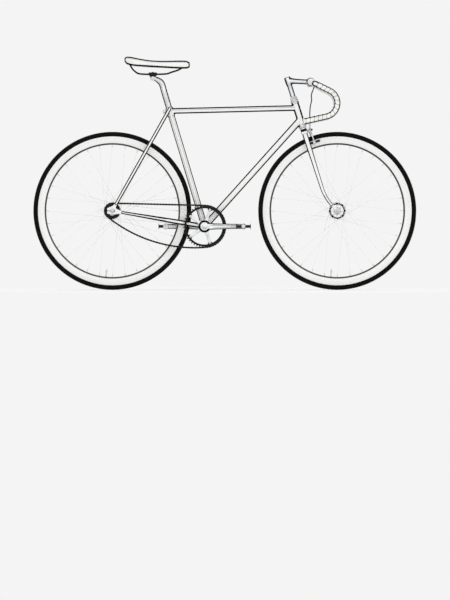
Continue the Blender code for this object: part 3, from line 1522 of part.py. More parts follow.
def bar_side_path(side):
    """Centre line of one side, from the middle of the top to the end of the drop."""
    ramp = Vector((math.cos(RAMP_SLOPE), 0.0, -math.sin(RAMP_SLOPE)))
    drop_plane = side * BAR_WIDTH / 2 * Y_AXIS
    bend = BAR_BEND_RADIUS
    points = [
        BAR_CENTRE + side * (BAR_WIDTH / 2 - bend) * Y_AXIS,
    ]
    bend_centre = points[0] + bend * ramp
    for k in (1, 2, 3):
        turn = k * math.pi / 6
        points.append(
            bend_centre - bend * math.cos(turn) * ramp + side * bend * math.sin(turn) * Y_AXIS
        )
    hook_start = BAR_CENTRE + drop_plane + RAMP_LENGTH * ramp
    hook_centre = hook_start + HOOK_RADIUS * Vector((-math.sin(RAMP_SLOPE), 0.0, -math.cos(RAMP_SLOPE)))
    start = math.pi / 2 - RAMP_SLOPE
    end = -math.pi / 2 + DROP_SLOPE
    for u, v in arc((0.0, 0.0), HOOK_RADIUS, start, end, 6):
        points.append(hook_centre + u * X_AXIS + v * Z_AXIS)
    drop = Vector((-math.cos(DROP_SLOPE), 0.0, -math.sin(DROP_SLOPE)))
    points.append(points[-1] + DROP_LENGTH * drop)
    return points


def make_handlebar():
    """One drop bar, thicker in the stem's clamp."""
    left = bar_side_path(1)
    right = bar_side_path(-1)
    bulge = STEM_CLAMP_HALF_WIDTH + 0.004
    middle = [BAR_CENTRE + y * Y_AXIS for y in (bulge + 0.006, bulge, -bulge, -bulge - 0.006)]
    thick = BAR_RADIUS + BAR_BULGE
    points = left[::-1] + middle + right
    ends = [BAR_RADIUS] * (len(left) + 1)
    bar = swept(points, ends + [thick, thick] + ends, BAR_SIDES)
    part("handlebar", bar, FORK_BODY, "polished_alloy")


def make_bar_tape(name, side):
    """The wrapped sleeve from beside the stem to the end of the drop."""
    path = bar_side_path(side)
    outwards = (path[-1] - path[-2]).normalized()
    sleeve = [path[-1] - 0.002 * outwards] + path[-2::-1]
    sleeve.append(BAR_CENTRE + side * TAPE_START * Y_AXIS)
    core = [path[-1] + 0.008 * outwards] + path[-2::-1]
    core.append(BAR_CENTRE + side * (TAPE_START - 0.010) * Y_AXIS)
    inner = BAR_RADIUS + GAP / math.cos(math.pi / BAR_SIDES)
    tape = swept(sleeve, [inner + TAPE_THICKNESS] * len(sleeve), BAR_SIDES)
    tape = cut(tape, swept(core, [inner] * len(core), BAR_SIDES))
    part(name, tape, FORK_BODY, "bar_tape")


# Front brake

def make_brake_lever_clamp():
    """The lever's bracket: a band round the bar, two cheeks and the pivot pin between them."""
    at = BAR_CENTRE + LEVER_SIDE * Y_AXIS
    half = LEVER_CLAMP_WIDTH / 2 * Y_AXIS
    band = rod(at - half, at + half, LEVER_CLAMP_RADIUS, 12)
    reach = LEVER_PIVOT_DISTANCE + 0.006
    cheeks_height = LEVER_THICKNESS + 0.0064
    cheeks = box(
        at + (reach + 0.008) / 2 * LEVER_OUT,
        (reach - 0.008, LEVER_CLAMP_WIDTH, cheeks_height),
        LEVER_OUT,
        LEVER_AXIS,
    )
    room = LEVER_THICKNESS + 2 * GAP
    slot = box(at + (0.022 + 0.015) * LEVER_OUT, (0.030, 0.030, room), LEVER_OUT, LEVER_AXIS)
    pin_half = (cheeks_height / 2 - 0.0006) * LEVER_AXIS
    pin = rod(LEVER_PIVOT - pin_half, LEVER_PIVOT + pin_half, LEVER_PIN_RADIUS, 8)
    hole = rod(at - 2 * half, at + 2 * half, bore(BAR_RADIUS, 12), 12)
    bracket = join(cut(join(band, cheeks), hole, slot), pin)
    part("brake_lever_clamp", bracket, FORK_BODY, "black_steel")


def make_brake_lever():
    """The blade along the bar's top, with a short cable tail inside the pivot."""
    points = [(0.013, -0.001), (0.0, 0.0), (-0.020, 0.0045), (-0.060, 0.0085), (-LEVER_LENGTH + 0.003, 0.0060)]
    outline = strap_outline(points, [0.007, 0.011, 0.012, 0.011, 0.008])
    lever = plate([outline], plane_matrix(LEVER_PIVOT, Y_AXIS, LEVER_OUT), LEVER_THICKNESS)
    reach = LEVER_THICKNESS * LEVER_AXIS
    hole = rod(LEVER_PIVOT - reach, LEVER_PIVOT + reach, bore(LEVER_PIN_RADIUS, 8), 8)
    part("brake_lever", cut(lever, hole), LEVER_BODY, "black_steel")


def brake_layer(index):
    """Middle of a calliper arm's layer, before the steering axis."""
    return CROWN_HALF_DEPTH + GAP + 0.004 + (index + 0.5) * BRAKE_ARM_THICKNESS + index * GAP


def make_brake_bolt():
    """The pivot bolt: in the crown, a collar behind the arms and a nut in front of them."""
    front = brake_layer(1) + BRAKE_ARM_THICKNESS / 2 + GAP
    radius = BRAKE_BOLT_RADIUS
    profile = [
        (0.0, CROWN_HALF_DEPTH - 0.015),
        (radius, CROWN_HALF_DEPTH - 0.015),
        (radius, CROWN_HALF_DEPTH + GAP),
        (0.0070, CROWN_HALF_DEPTH + GAP),
        (0.0070, CROWN_HALF_DEPTH + 0.004),
        (radius, CROWN_HALF_DEPTH + 0.004),
        (radius, front),
        (0.0055, front),
        (0.0055, front + 0.0065),
        (0.0, front + 0.0065),
    ]
    bolt = turned(profile, steer_point(BRAKE_PIVOT_HEIGHT), STEER_FRONT, 8)
    part("brake_pivot_bolt", bolt, FORK_BODY, "black_steel")


PAD_INNER = RIM_WIDTH / 2 + PAD_CLEARANCE
PAD_OUTER = PAD_INNER + PAD_THICKNESS


def make_brake_arm(name, side, layer, tail, tail_widths, body, barrel=None):
    """A calliper arm: over the tyre from its pad to the pivot, and on to the cable's side."""
    foot = PAD_OUTER + GAP + 0.0045
    points = [
        (side * foot, -BRAKE_REACH - 0.004),
        (side * (foot + 0.0010), -BRAKE_REACH * 0.80),
        (side * (foot + 0.0030), -BRAKE_REACH * 0.50),
        (side * (foot - 0.0050), -BRAKE_REACH * 0.22),
        (side * 0.0100, -0.0020),
    ] + tail
    outline = strap_outline(points, [0.0085, 0.0080, 0.0080, 0.0100, 0.0120] + tail_widths)
    centre = steer_point(BRAKE_PIVOT_HEIGHT, brake_layer(layer))
    half = BRAKE_ARM_THICKNESS / 2 * STEER_FRONT
    strap = BRAKE_ARM_THICKNESS - 0.0008
    arm = plate([outline], plane_matrix(centre, Y_AXIS, STEER_UP), strap)
    eye = rod(centre - half, centre + half, 0.0087, 16)
    arm = join(arm, eye)
    if barrel:
        arm = join(arm, rod(*barrel, 0.0040, 8))
    hole = rod(centre - 2 * half, centre + 2 * half, bore(BRAKE_BOLT_RADIUS, 8), 8)
    part(name, cut(arm, hole), body, "polished_alloy")


def barrel_ends():
    """The cable adjuster on the right arm's tail, upright."""
    foot = steer_point(BRAKE_PIVOT_HEIGHT + 0.010, brake_layer(1), -0.036)
    return foot, foot + 0.030 * Z_AXIS


def make_brake_pad(name, side, layer, body):
    """A rubber block in line with the rim's brake track."""
    height = RIM_OUTER_RADIUS - PAD_BELOW_RIM_EDGE
    front = brake_layer(layer) - FORK_RAKE
    along_axis = math.sqrt(height ** 2 - front ** 2)
    middle = (PAD_INNER + PAD_OUTER) / 2
    centre = steer_point(along_axis, front + FORK_RAKE, side * middle)
    radial = (centre - FRONT_AXLE)
    radial.y = 0.0
    radial.normalize()
    tangent = Y_AXIS.cross(radial)
    pad = box(centre, (PAD_LENGTH, PAD_THICKNESS, PAD_HEIGHT), tangent, radial)
    part(name, pad, body, "brake_rubber")


def make_brake_cable():
    """The cable housing from the lever's bracket down to the calliper's adjuster."""
    at = BAR_CENTRE + (LEVER_SIDE + LEVER_CLAMP_WIDTH / 2 + GAP) * Y_AXIS + 0.020 * LEVER_OUT
    _, end = barrel_ends()
    end = end + GAP * Z_AXIS
    route = [
        at,
        at + Vector((0.0003, 0.0130, -0.0010)),
        at + Vector((-0.0015, 0.0240, -0.0080)),
        at + Vector((-0.0070, 0.0300, -0.0230)),
        at + Vector((-0.0140, 0.0290, -0.0450)),
        end + Vector((0.0080, 0.0230, 0.0850)),
        end + Vector((0.0030, 0.0140, 0.0620)),
        end + Vector((0.0005, 0.0050, 0.0400)),
        end + Vector((0.0, 0.0005, 0.0180)),
        end,
    ]
    cable = bent_tube(smooth_path(route, 2), CABLE_RADIUS, 2)
    part("brake_cable", cable, FORK_BODY, "cable_housing")


def make_front_brake():
    make_brake_lever_clamp()
    make_brake_lever()
    make_brake_bolt()
    make_brake_arm(
        "brake_arm_right", -1, 1, [(-0.0020, 0.0030), (-0.0180, 0.0130), (-0.0400, 0.0140)],
        [0.0110, 0.0090, 0.0090], BRAKE_RIGHT_BODY, barrel_ends(),
    )
    make_brake_arm(
        "brake_arm_left", 1, 0, [(-0.0200, -0.0030), (-0.0400, -0.0040)],
        [0.0095, 0.0080], BRAKE_LEFT_BODY,
    )
    make_brake_pad("brake_pad_right", -1, 1, BRAKE_RIGHT_BODY)
    make_brake_pad("brake_pad_left", 1, 0, BRAKE_LEFT_BODY)
    make_brake_cable()


def make_fork_and_bars():
    make_fork_crown()
    make_headset_locknut()
    make_stem()
    make_handlebar()
    for name, side in (("left", 1), ("right", -1)):
        make_fork_blade("fork_blade_" + name, side)
        make_bar_tape("bar_tape_" + name, side)
    make_front_brake()


# Seatpost and saddle

def make_seatpost():
    """A layback post: straight in the seat tube, then swept back to a cross-wise head."""
    to_head = SADDLE_CENTRE - POST_BEND
    path = [
        seat_point(SEAT_TUBE_LENGTH - SEATPOST_INSERTED),
        POST_BEND,
        POST_BEND + 0.35 * to_head + 0.0045 * Z_AXIS,
        POST_BEND + 0.68 * to_head + 0.0035 * Z_AXIS,
        SADDLE_CENTRE,
    ]
    r = SEATPOST_RADIUS
    post = bent_tube(path, r, 4, [r, r, r - 0.0012, r - 0.0032, r - 0.0045])
    half = POST_HEAD_HALF_WIDTH * Y_AXIS
    head = rod(SADDLE_CENTRE - half, SADDLE_CENTRE + half, POST_HEAD_RADIUS, 16)
    part("seatpost", join(post, head), SEATPOST_BODY, "polished_alloy")


def rail_path(side, extra=0.0):
    """One rail from the tail socket, through the straight clamping length, to the nose."""
    base = SADDLE_CENTRE + RAIL_RISE * Z_AXIS
    half = RAIL_SPACING / 2
    tail, nose = -SADDLE_TAIL, SADDLE_NOSE
    into_nose = SADDLE_TOP - RAIL_RISE
    into_tail = into_nose * 1.15
    offsets = [
        (tail * 0.855, half * 1.36, into_tail * 0.770),
        (tail * 0.786, half * 1.32, into_tail * 0.462),
        (tail * 0.650, half * 1.14, into_tail * 0.177),
        (tail * 0.410, half, 0.0),
        (nose * 0.312, half, 0.0),
        (nose * 0.520, half * 0.91, into_nose * 0.142),
        (nose * 0.727, half * 0.64, into_nose * 0.336),
        (nose * 0.851, half * 0.41, into_nose * 0.584),
        (nose * 0.893, half * 0.18, into_nose * 0.602),
    ]
    path = [base + Vector((x, side * y, z)) for x, y, z in offsets]
    path[0] = path[0] + extra * (path[0] - path[1]).normalized()
    return path


def rails(radius, extra=0.0):
    left = rail_path(1, extra)
    right = rail_path(-1, extra)
    return bent_tube(left + right[::-1], radius, 1)


def make_saddle_clamp():
    """The cradle on the post's head, with a groove for each rail."""
    height = CLAMP_HIGH - CLAMP_LOW
    centre = SADDLE_CENTRE + (CLAMP_LOW + height / 2) * Z_AXIS
    block = box(centre, (2 * CLAMP_HALF_LENGTH, 2 * CLAMP_HALF_WIDTH, height))
    reach = 2 * POST_HEAD_HALF_WIDTH * Y_AXIS
    head_room = rod(
        SADDLE_CENTRE - reach,
        SADDLE_CENTRE + reach,
        bore(POST_HEAD_RADIUS, 16, GAP),
        16,
    )
    grooves = []
    for side in (-1, 1):
        middle = SADDLE_CENTRE + RAIL_RISE * Z_AXIS + side * RAIL_SPACING / 2 * Y_AXIS
        reach = 2 * CLAMP_HALF_LENGTH * X_AXIS
        grooves.append(rod(middle - reach, middle + reach, bore(RAIL_RADIUS, 8, GAP), 8))
    part("saddle_clamp", cut(block, head_room, *grooves), CLAMP_BODY, "black_steel")


def saddle_loops(stations, shape):
    """Cross sections of the saddle, from shares of its length, half width, top and skirt."""
    outline = shape + [(-side, height) for side, height in shape[-2::-1]]
    loops = []
    for along, wide, high, deep in stations:
        x = along * (SADDLE_NOSE if along > 0 else SADDLE_TAIL)
        half_width = wide * SADDLE_HALF_WIDTH
        top = high * SADDLE_TOP
        low = deep * SADDLE_SKIRT
        loops.append([
            SADDLE_CENTRE + Vector((x, half_width * side, low + (top - low) * height))
            for side, height in outline
        ])
    return loops


def make_saddle():
    """A narrow racing saddle: raised tail, flat top, slim nose, hollow between its skirts."""
    stations = [
        (-1.00, 0.41, 1.15, 1.59),
        (-0.93, 0.72, 1.25, 1.36),
        (-0.73, 0.96, 1.22, 1.20),
        (-0.43, 1.00, 1.11, 1.14),
        (-0.13, 0.81, 1.03, 1.09),
        (0.13, 0.54, 1.00, 1.05),
        (0.39, 0.35, 1.00, 1.00),
        (0.65, 0.29, 1.02, 0.95),
        (0.88, 0.25, 1.02, 0.93),
        (0.97, 0.17, 0.96, 0.98),
        (1.00, 0.09, 0.89, 1.07),
    ]
    hollow_stations = [
        (-0.70, 0.72, 0.89, 0.68),
        (-0.43, 0.81, 0.86, 0.68),
        (-0.13, 0.62, 0.82, 0.68),
        (0.13, 0.36, 0.79, 0.68),
        (0.39, 0.20, 0.79, 0.68),
        (0.65, 0.16, 0.79, 0.68),
    ]
    saddle = loft(saddle_loops(stations, [
        (0.70, 0.0), (0.97, 0.06), (1.0, 0.36), (0.90, 0.74), (0.52, 0.96), (0.0, 1.0),
    ]))
    hollow = loft(saddle_loops(hollow_stations, [(1.0, 0.0), (1.0, 0.55), (0.60, 1.0)]))
    saddle = cut(saddle, hollow, rails(RAIL_RADIUS + 1.3 * GAP, GAP))
    part("saddle", saddle, SADDLE_BODY, "saddle_leather", 45)


def make_seat():
    make_seatpost()
    make_saddle_clamp()
    part("saddle_rails", rails(RAIL_RADIUS), SADDLE_BODY, "black_steel")
    make_saddle()


make_frame()
make_wheels()
make_drive()
make_cranks_and_pedals()
make_fork_and_bars()
make_seat()
bpy.data.collections.remove(WORKSHOP)
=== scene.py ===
"""The finished look of a fixed-gear road bike with drop bars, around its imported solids.

Metres, +Z up, +X forward, the drive side is -Y. White enamel frame, white deep rims, white bar
tape and saddle; black tyres, chain, chainring, saddle rails and brake cable.
"""

from math import acos, atan2, copysign, cos, hypot, pi, radians, sin, sqrt

import bmesh
import bpy
from mathutils import Matrix, Vector


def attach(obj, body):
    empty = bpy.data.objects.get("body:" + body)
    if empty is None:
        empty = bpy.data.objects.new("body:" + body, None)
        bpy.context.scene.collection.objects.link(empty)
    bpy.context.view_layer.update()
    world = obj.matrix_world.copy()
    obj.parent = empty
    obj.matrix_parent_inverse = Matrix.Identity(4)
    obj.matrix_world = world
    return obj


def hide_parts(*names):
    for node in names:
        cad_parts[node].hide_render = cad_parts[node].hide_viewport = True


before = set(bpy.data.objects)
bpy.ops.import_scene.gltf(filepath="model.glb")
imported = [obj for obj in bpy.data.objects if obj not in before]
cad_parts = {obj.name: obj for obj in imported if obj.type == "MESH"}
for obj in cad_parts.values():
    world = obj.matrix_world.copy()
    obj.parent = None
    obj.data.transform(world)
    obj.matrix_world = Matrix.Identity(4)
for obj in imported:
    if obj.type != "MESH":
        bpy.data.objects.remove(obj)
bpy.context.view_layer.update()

# Sizes, as in the solids
WHEELBASE = 0.956
HEAD_ANGLE = radians(72.5)
SEAT_ANGLE = radians(73.3)
FORK_RAKE = 0.033
AXLE_TO_CROWN = 0.376
HEAD_LOW = 0.389
HEAD_TOP = 0.494
SEAT_TUBE_LENGTH = 0.527
CHAIN_STAY_LENGTH = 0.3975
BRACKET_DROP = 0.066
REAR_SPACING = 0.12
FRONT_SPACING = 0.1
DROPOUT_THICKNESS = 0.0055
FORK_END_THICKNESS = 0.005
HEAD_TUBE_RADIUS = 0.0159
SEAT_TUBE_RADIUS = 0.0143
TOP_TUBE_RADIUS = 0.0127
DOWN_TUBE_RADIUS = 0.015
TYRE_RADIUS = 0.336
RIM_OUTER_RADIUS = 0.3165
RIM_INNER_RADIUS = 0.281
SPOKE_COUNT = 32
FLANGE_RADIUS = 0.035
CHAIN_PITCH = 0.0127
CHAIN_LINE = 0.0425
CHAINRING_TEETH = 44
COG_TEETH = 16
CRANK_LENGTH = 0.165
CRANK_PLANE = 0.062
BAR_RADIUS = 0.012
BAR_WIDTH = 0.4
CREST = 0.26                # sine of half the angle that stays bare between two lines
EDGE_LINE = 0.0063          # black line along each edge of a tube, as wide as this from the side

X, Y, Z = Vector((1, 0, 0)), Vector((0, 1, 0)), Vector((0, 0, 1))
SIDES = (("left", 1), ("right", -1))
REAR_AXLE = Vector((-WHEELBASE / 2, 0.0, TYRE_RADIUS))
FRONT_AXLE = Vector((WHEELBASE / 2, 0.0, TYRE_RADIUS))
BB = REAR_AXLE + Vector((sqrt(CHAIN_STAY_LENGTH ** 2 - BRACKET_DROP ** 2), 0.0, -BRACKET_DROP))
SEAT_UP = Vector((-cos(SEAT_ANGLE), 0.0, sin(SEAT_ANGLE)))
SEAT_FRONT = Vector((sin(SEAT_ANGLE), 0.0, cos(SEAT_ANGLE)))
STEER_UP = Vector((-cos(HEAD_ANGLE), 0.0, sin(HEAD_ANGLE)))
STEER_FRONT = Vector((sin(HEAD_ANGLE), 0.0, cos(HEAD_ANGLE)))
AXLE_FOOT = FRONT_AXLE - FORK_RAKE * STEER_FRONT
TO_AXLE = (REAR_AXLE - BB).normalized()
RING_PITCH_RADIUS = CHAIN_PITCH / (2 * sin(pi / CHAINRING_TEETH))
COG_PITCH_RADIUS = CHAIN_PITCH / (2 * sin(pi / COG_TEETH))


def seat_point(height, side=0.0):
    return BB + height * SEAT_UP + side * Y


def steer_point(height, front=0.0, side=0.0):
    return AXLE_FOOT + height * STEER_UP + front * STEER_FRONT + side * Y


BAR_CENTRE = steer_point(HEAD_TOP + 0.0618, 0.0893)
SEAT_CLUSTER = seat_point(0.52)
UP_SEAT_STAY = (SEAT_CLUSTER - REAR_AXLE).normalized()
POST_BEND = seat_point(SEAT_TUBE_LENGTH + 0.106)
SADDLE_CENTRE = POST_BEND + Vector((-0.0381, 0.0, 0.0257))


# Outlines and paths

ROUNDING_STEPS = 3
SHORTENING = 0.45           # the share of an edge that a rounded corner may take
NEARLY_STRAIGHT = -0.995
PARALLEL = 0.9              # above this cosine two directions count as parallel
LEAST_ACROSS = 0.2          # below this a carried frame has turned too far and starts afresh
LEAST_STEP = 0.3            # the share of a step that is worth a last point of its own
DOME_SHARES = (0.5, 0.8, 0.95)
ON_AXIS = 1e-9
WELD = 1e-6


def mm(*rows):
    """Rows of millimetres in metres."""
    return [tuple(number / 1000 for number in row) for row in rows]


def mirrored(half, *middle):
    """A profile or outline from its first half, its middle, and the half's image across v = 0."""
    return half + list(middle) + [(u, -v) for u, v in half[::-1]]


def radial(angle):
    """The unit vector at an angle in the side plane."""
    return Vector((cos(angle), 0.0, sin(angle)))


def polar(*spots):
    """(radius, angle) pairs as (u, v) points."""
    return [(radius * cos(angle), radius * sin(angle)) for radius, angle in spots]


def arc(centre, radius, start, end, steps):
    turns = [start + (end - start) * i / steps for i in range(steps + 1)]
    return [(centre[0] + radius * cos(t), centre[1] + radius * sin(t)) for t in turns]


def circle(centre, radius, count):
    return arc(centre, radius, 0.0, 2 * pi * (count - 1) / count, count - 1)


def soften(points, reach, closed=True):
    """Round the corners of an outline or profile of (u, v) points."""
    result = []
    for i, corner in enumerate(points):
        corner = Vector(corner)
        back = Vector(points[i - 1]) - corner
        ahead = Vector(points[(i + 1) % len(points)]) - corner
        an_end = not closed and i in (0, len(points) - 1)
        if an_end or back.normalized().dot(ahead.normalized()) < NEARLY_STRAIGHT:
            result.append(tuple(corner))
            continue
        size = min(reach, SHORTENING * back.length, SHORTENING * ahead.length)
        start = corner + size * back.normalized()
        end = corner + size * ahead.normalized()
        for k in range(ROUNDING_STEPS + 1):
            t = k / ROUNDING_STEPS
            result.append(tuple((1 - t) ** 2 * start + 2 * t * (1 - t) * corner + t ** 2 * end))
    return result


def smooth(values, steps):
    """Catmull-Rom through floats, vectors or tuples of floats, steps between each pair."""
    if isinstance(values[0], tuple):
        return list(zip(*(smooth(column, steps) for column in map(list, zip(*values)))))
    result = []
    last = len(values) - 1
    for i in range(last):
        p0, p1, p2, p3 = values[max(i - 1, 0)], values[i], values[i + 1], values[min(i + 2, last)]
        for t in (k / steps for k in range(steps)):
            result.append(0.5 * (
                2 * p1 + t * (p2 - p0) + t ** 2 * (2 * p0 - 5 * p1 + 4 * p2 - p3)
                + t ** 3 * (3 * p1 - p0 - 3 * p2 + p3)
            ))
    return result + [values[-1]]


def even(points, step):
    """The path again at even distances."""
    result = [points[0]]
    left = step
    for one, two in zip(points, points[1:]):
        length = (two - one).length
        at = left
        while at <= length:
            result.append(one + (two - one) * at / length)
            at += step
        left = at - length
    if (result[-1] - points[-1]).length > LEAST_STEP * step:
        result.append(points[-1])
    return result


def way_at(points, i):
    """The direction of a path at its point i."""
    return (points[min(i + 1, len(points) - 1)] - points[max(i - 1, 0)]).normalized()


def frame_of(axis):
    """Two unit vectors square to an axis."""
    axis = axis.normalized()
    reference = X if abs(axis.y) > PARALLEL else Y
    across = (reference - reference.dot(axis) * axis).normalized()
    return across, axis.cross(across)


def carried(points):
    """A frame carried along a path: (point, tangent, across, up) for each point."""
    result = []
    across = Y
    for i, point in enumerate(points):
        tangent = way_at(points, i)
        across = across - across.dot(tangent) * tangent
        if across.length < LEAST_ACROSS:
            across = frame_of(tangent)[0]
        across = across.normalized()
        result.append((point, tangent, across, tangent.cross(across)))
    return result


def oval(centre, u_axis, v_axis, u_radius, v_radius, sides):
    turns = [2 * pi * i / sides for i in range(sides)]
    return [centre + cos(t) * u_radius * u_axis + sin(t) * v_radius * v_axis for t in turns]


# Mesh building

bm = bmesh.new()            # the piece under construction, until piece() finishes and empties it


def coat(form, faces, mat):
    """Give a form's new faces their material and turn them outwards."""
    for face in faces:
        face.material_index = mat
    bmesh.ops.recalc_face_normals(form, faces=faces)


def loft(loops, mat=0):
    """A skin through loops of equal length, closed at both ends."""
    rings = [[bm.verts.new(point) for point in loop] for loop in loops]
    faces = []
    for one, two in zip(rings, rings[1:]):
        for i in range(len(one)):
            j = (i + 1) % len(one)
            faces.append(bm.faces.new((one[i], one[j], two[j], two[i])))
    faces += [bm.faces.new(rings[0][::-1]), bm.faces.new(rings[-1])]
    coat(bm, faces, mat)


def turned(profile, base, axis, sides, mat=0):
    """Turn (radius, height) points about an axis; a profile clear of the axis makes a ring."""
    on_axis = [radius <= ON_AXIS for radius, _ in profile]
    across, along = frame_of(axis)
    up = axis.normalized()
    poles = {i: bm.verts.new(base + profile[i][1] * up) for i, pole in enumerate(on_axis) if pole}
    rows = []
    for k in range(sides):
        turn = 2 * pi * k / sides
        out = cos(turn) * across + sin(turn) * along
        rows.append([
            poles[i] if i in poles else bm.verts.new(base + radius * out + height * up)
            for i, (radius, height) in enumerate(profile)
        ])
    faces = []
    count = len(profile)
    for one, two in zip(rows, rows[1:] + rows[:1]):
        for i in range(count - any(on_axis)):
            j = (i + 1) % count
            corners = list(dict.fromkeys((one[i], one[j], two[j], two[i])))
            if len(corners) > 2:
                faces.append(bm.faces.new(corners))
    coat(bm, faces, mat)


def lathe(rows, base, axis, sides=48, mat=0):
    """Turn (radius, height) rows in millimetres about an axis."""
    turned(mm(*rows), base, axis, sides, mat)


def rod(start, end, radius, sides=24, mat=0, rounding=0.0, end_radius=None):
    length = (end - start).length
    far = radius if end_radius is None else end_radius
    profile = [(0.0, 0.0), (radius, 0.0), (far, length), (0.0, length)]
    if rounding:
        profile = soften(profile, rounding, False)
    turned(profile, start, end - start, sides, mat)


def pin(centre, axis, half_length, *rest):
    """A rod through a centre, as long on either side; the rest is as for a rod."""
    rod(centre - half_length * axis, centre + half_length * axis, *rest)


def swept(points, radii, sides, mat=0, dome=False):
    """A round wire along points; radii is one number or one for each point."""
    if not isinstance(radii, (list, tuple)):
        radii = [radii] * len(points)
    stations = [(*station, radius) for station, radius in zip(carried(points), radii)]
    if dome:
        caps = []
        for sign, (point, way, across, up, radius) in ((-1, stations[0]), (1, stations[-1])):
            caps.append([
                (point + sign * share * radius * way, way, across, up, radius * sqrt(1 - share ** 2))
                for share in DOME_SHARES
            ])
        stations = caps[0][::-1] + stations + caps[1]
    loft([oval(point, across, up, size, size, sides) for point, _, across, up, size in stations], mat)


def placed(name, data):
    """A new object with some data, in the scene."""
    thing = bpy.data.objects.new(name, data)
    bpy.context.scene.collection.objects.link(thing)
    return thing


def baked(form, name):
    """A form as a mesh; the form is left empty."""
    mesh = bpy.data.meshes.new(name)
    form.to_mesh(mesh)
    form.clear()
    return mesh


def turned_to(place, x_axis, y_axis, z_axis):
    """The matrix that carries the world's axes to a place and three axes."""
    return Matrix.Translation(place) @ Matrix((x_axis, y_axis, z_axis)).transposed().to_4x4()


def add_mesh(mesh, mat):
    """Add a mesh to the piece, welded, and drop the mesh."""
    extra = bmesh.new()
    extra.from_mesh(mesh)
    bmesh.ops.remove_doubles(extra, verts=extra.verts, dist=WELD)
    coat(extra, extra.faces, mat)
    if extra.calc_volume(signed=True) < 0:
        bmesh.ops.reverse_faces(extra, faces=extra.faces)
    extra.to_mesh(mesh)
    extra.free()
    bm.from_mesh(mesh)
    bpy.data.meshes.remove(mesh)


def slab(outlines, origin, u_axis, v_axis, thickness, bevel, mat=0):
    """A flat plate from closed (u, v) outlines, its edges rounded; inner outlines are holes."""
    curve = bpy.data.curves.new("outline", "CURVE")
    curve.dimensions = "2D"
    curve.fill_mode = "BOTH"
    curve.extrude = thickness / 2 - bevel
    curve.bevel_depth = bevel
    curve.bevel_resolution = 2
    curve.offset = -bevel
    for outline in outlines:
        spline = curve.splines.new("POLY")
        spline.points.add(len(outline) - 1)
        for knot, (u, v) in zip(spline.points, outline):
            knot.co = (u, v, 0.0, 1.0)
        spline.use_cyclic_u = True
    blank = placed("outline", curve)
    bpy.context.view_layer.update()
    mesh = bpy.data.meshes.new_from_object(
        blank.evaluated_get(bpy.context.evaluated_depsgraph_get())
    )
    mesh.transform(turned_to(origin, u_axis, v_axis, u_axis.cross(v_axis)))
    add_mesh(mesh, mat)
    bpy.data.objects.remove(blank, do_unlink=True)
    bpy.data.curves.remove(curve)


def block(centre, size, x_axis, z_axis, bevel):
    """A box with rounded edges, its length along x_axis and its height along z_axis."""
    extra = bmesh.new()
    bmesh.ops.create_cube(extra, size=1.0)
    bmesh.ops.scale(extra, vec=size, verts=extra.verts)
    bmesh.ops.bevel(
        extra, geom=extra.edges[:], offset=bevel, segments=3, profile=0.5, affect="EDGES",
        clamp_overlap=True,
    )
    mesh = baked(extra, "block")
    mesh.transform(turned_to(centre, x_axis, z_axis.cross(x_axis), z_axis))
    add_mesh(mesh, 0)


def ball(centre, radius, axis, flat):
    """A rivet head of the second material: a ball flattened along an axis."""
    sides = 16
    ends = {0: 0.0, sides // 2: 0.0}
    profile = []
    for k in range(sides // 2 + 1):
        turn = 2 * pi * k / sides
        profile.append((ends.get(k, radius * sin(turn)), -flat * radius * cos(turn)))
    turned(profile, centre, axis, sides, 1)


def hexagon(base, axis, across_flats, height, mat=0):
    """A hexagon nut or head with its corners chamfered."""
    corner = across_flats / sqrt(3)
    u, v = frame_of(axis)
    up = axis.normalized()
    loops = []
    for share, at in ((0.9, 0.0), (1.0, 0.12), (1.0, 0.8), (0.9, 1.0)):
        loops.append(oval(base + at * height * up, u, v, corner * share, corner * share, 6))
    loft(loops, mat)


def piece(name, body, materials, angle=35.0):
    """Finish the piece under construction: name it and let it move with a body."""
    mesh = baked(bm, name)
    mesh.shade_smooth()
    mesh.set_sharp_from_angle(angle=radians(angle))
    thing = placed(name, mesh)
    for material in materials if isinstance(materials, list) else [materials]:
        mesh.materials.append(material)
    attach(thing, body)
    return thing


def fine(node, body, materials, angle=35.0):
    """A piece that stands in place of the node of the same name."""
    thing = piece("fine_" + node, body, materials, angle)
    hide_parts(node)
    return thing


def ink_edges(radius, line=EDGE_LINE, mat=1, beyond=0.0):
    """Line a form just inside its upper and lower edges, as seen from the side; its crest stays bare."""
    share = sqrt(1 - (1 - line / radius) ** 2)
    bm.normal_update()
    for face in bm.faces:
        lined_here = abs(face.calc_center_median().y) >= beyond and CREST < abs(face.normal.y) < share
        if lined_here and face.material_index == 0:
            face.material_index = mat


# Materials

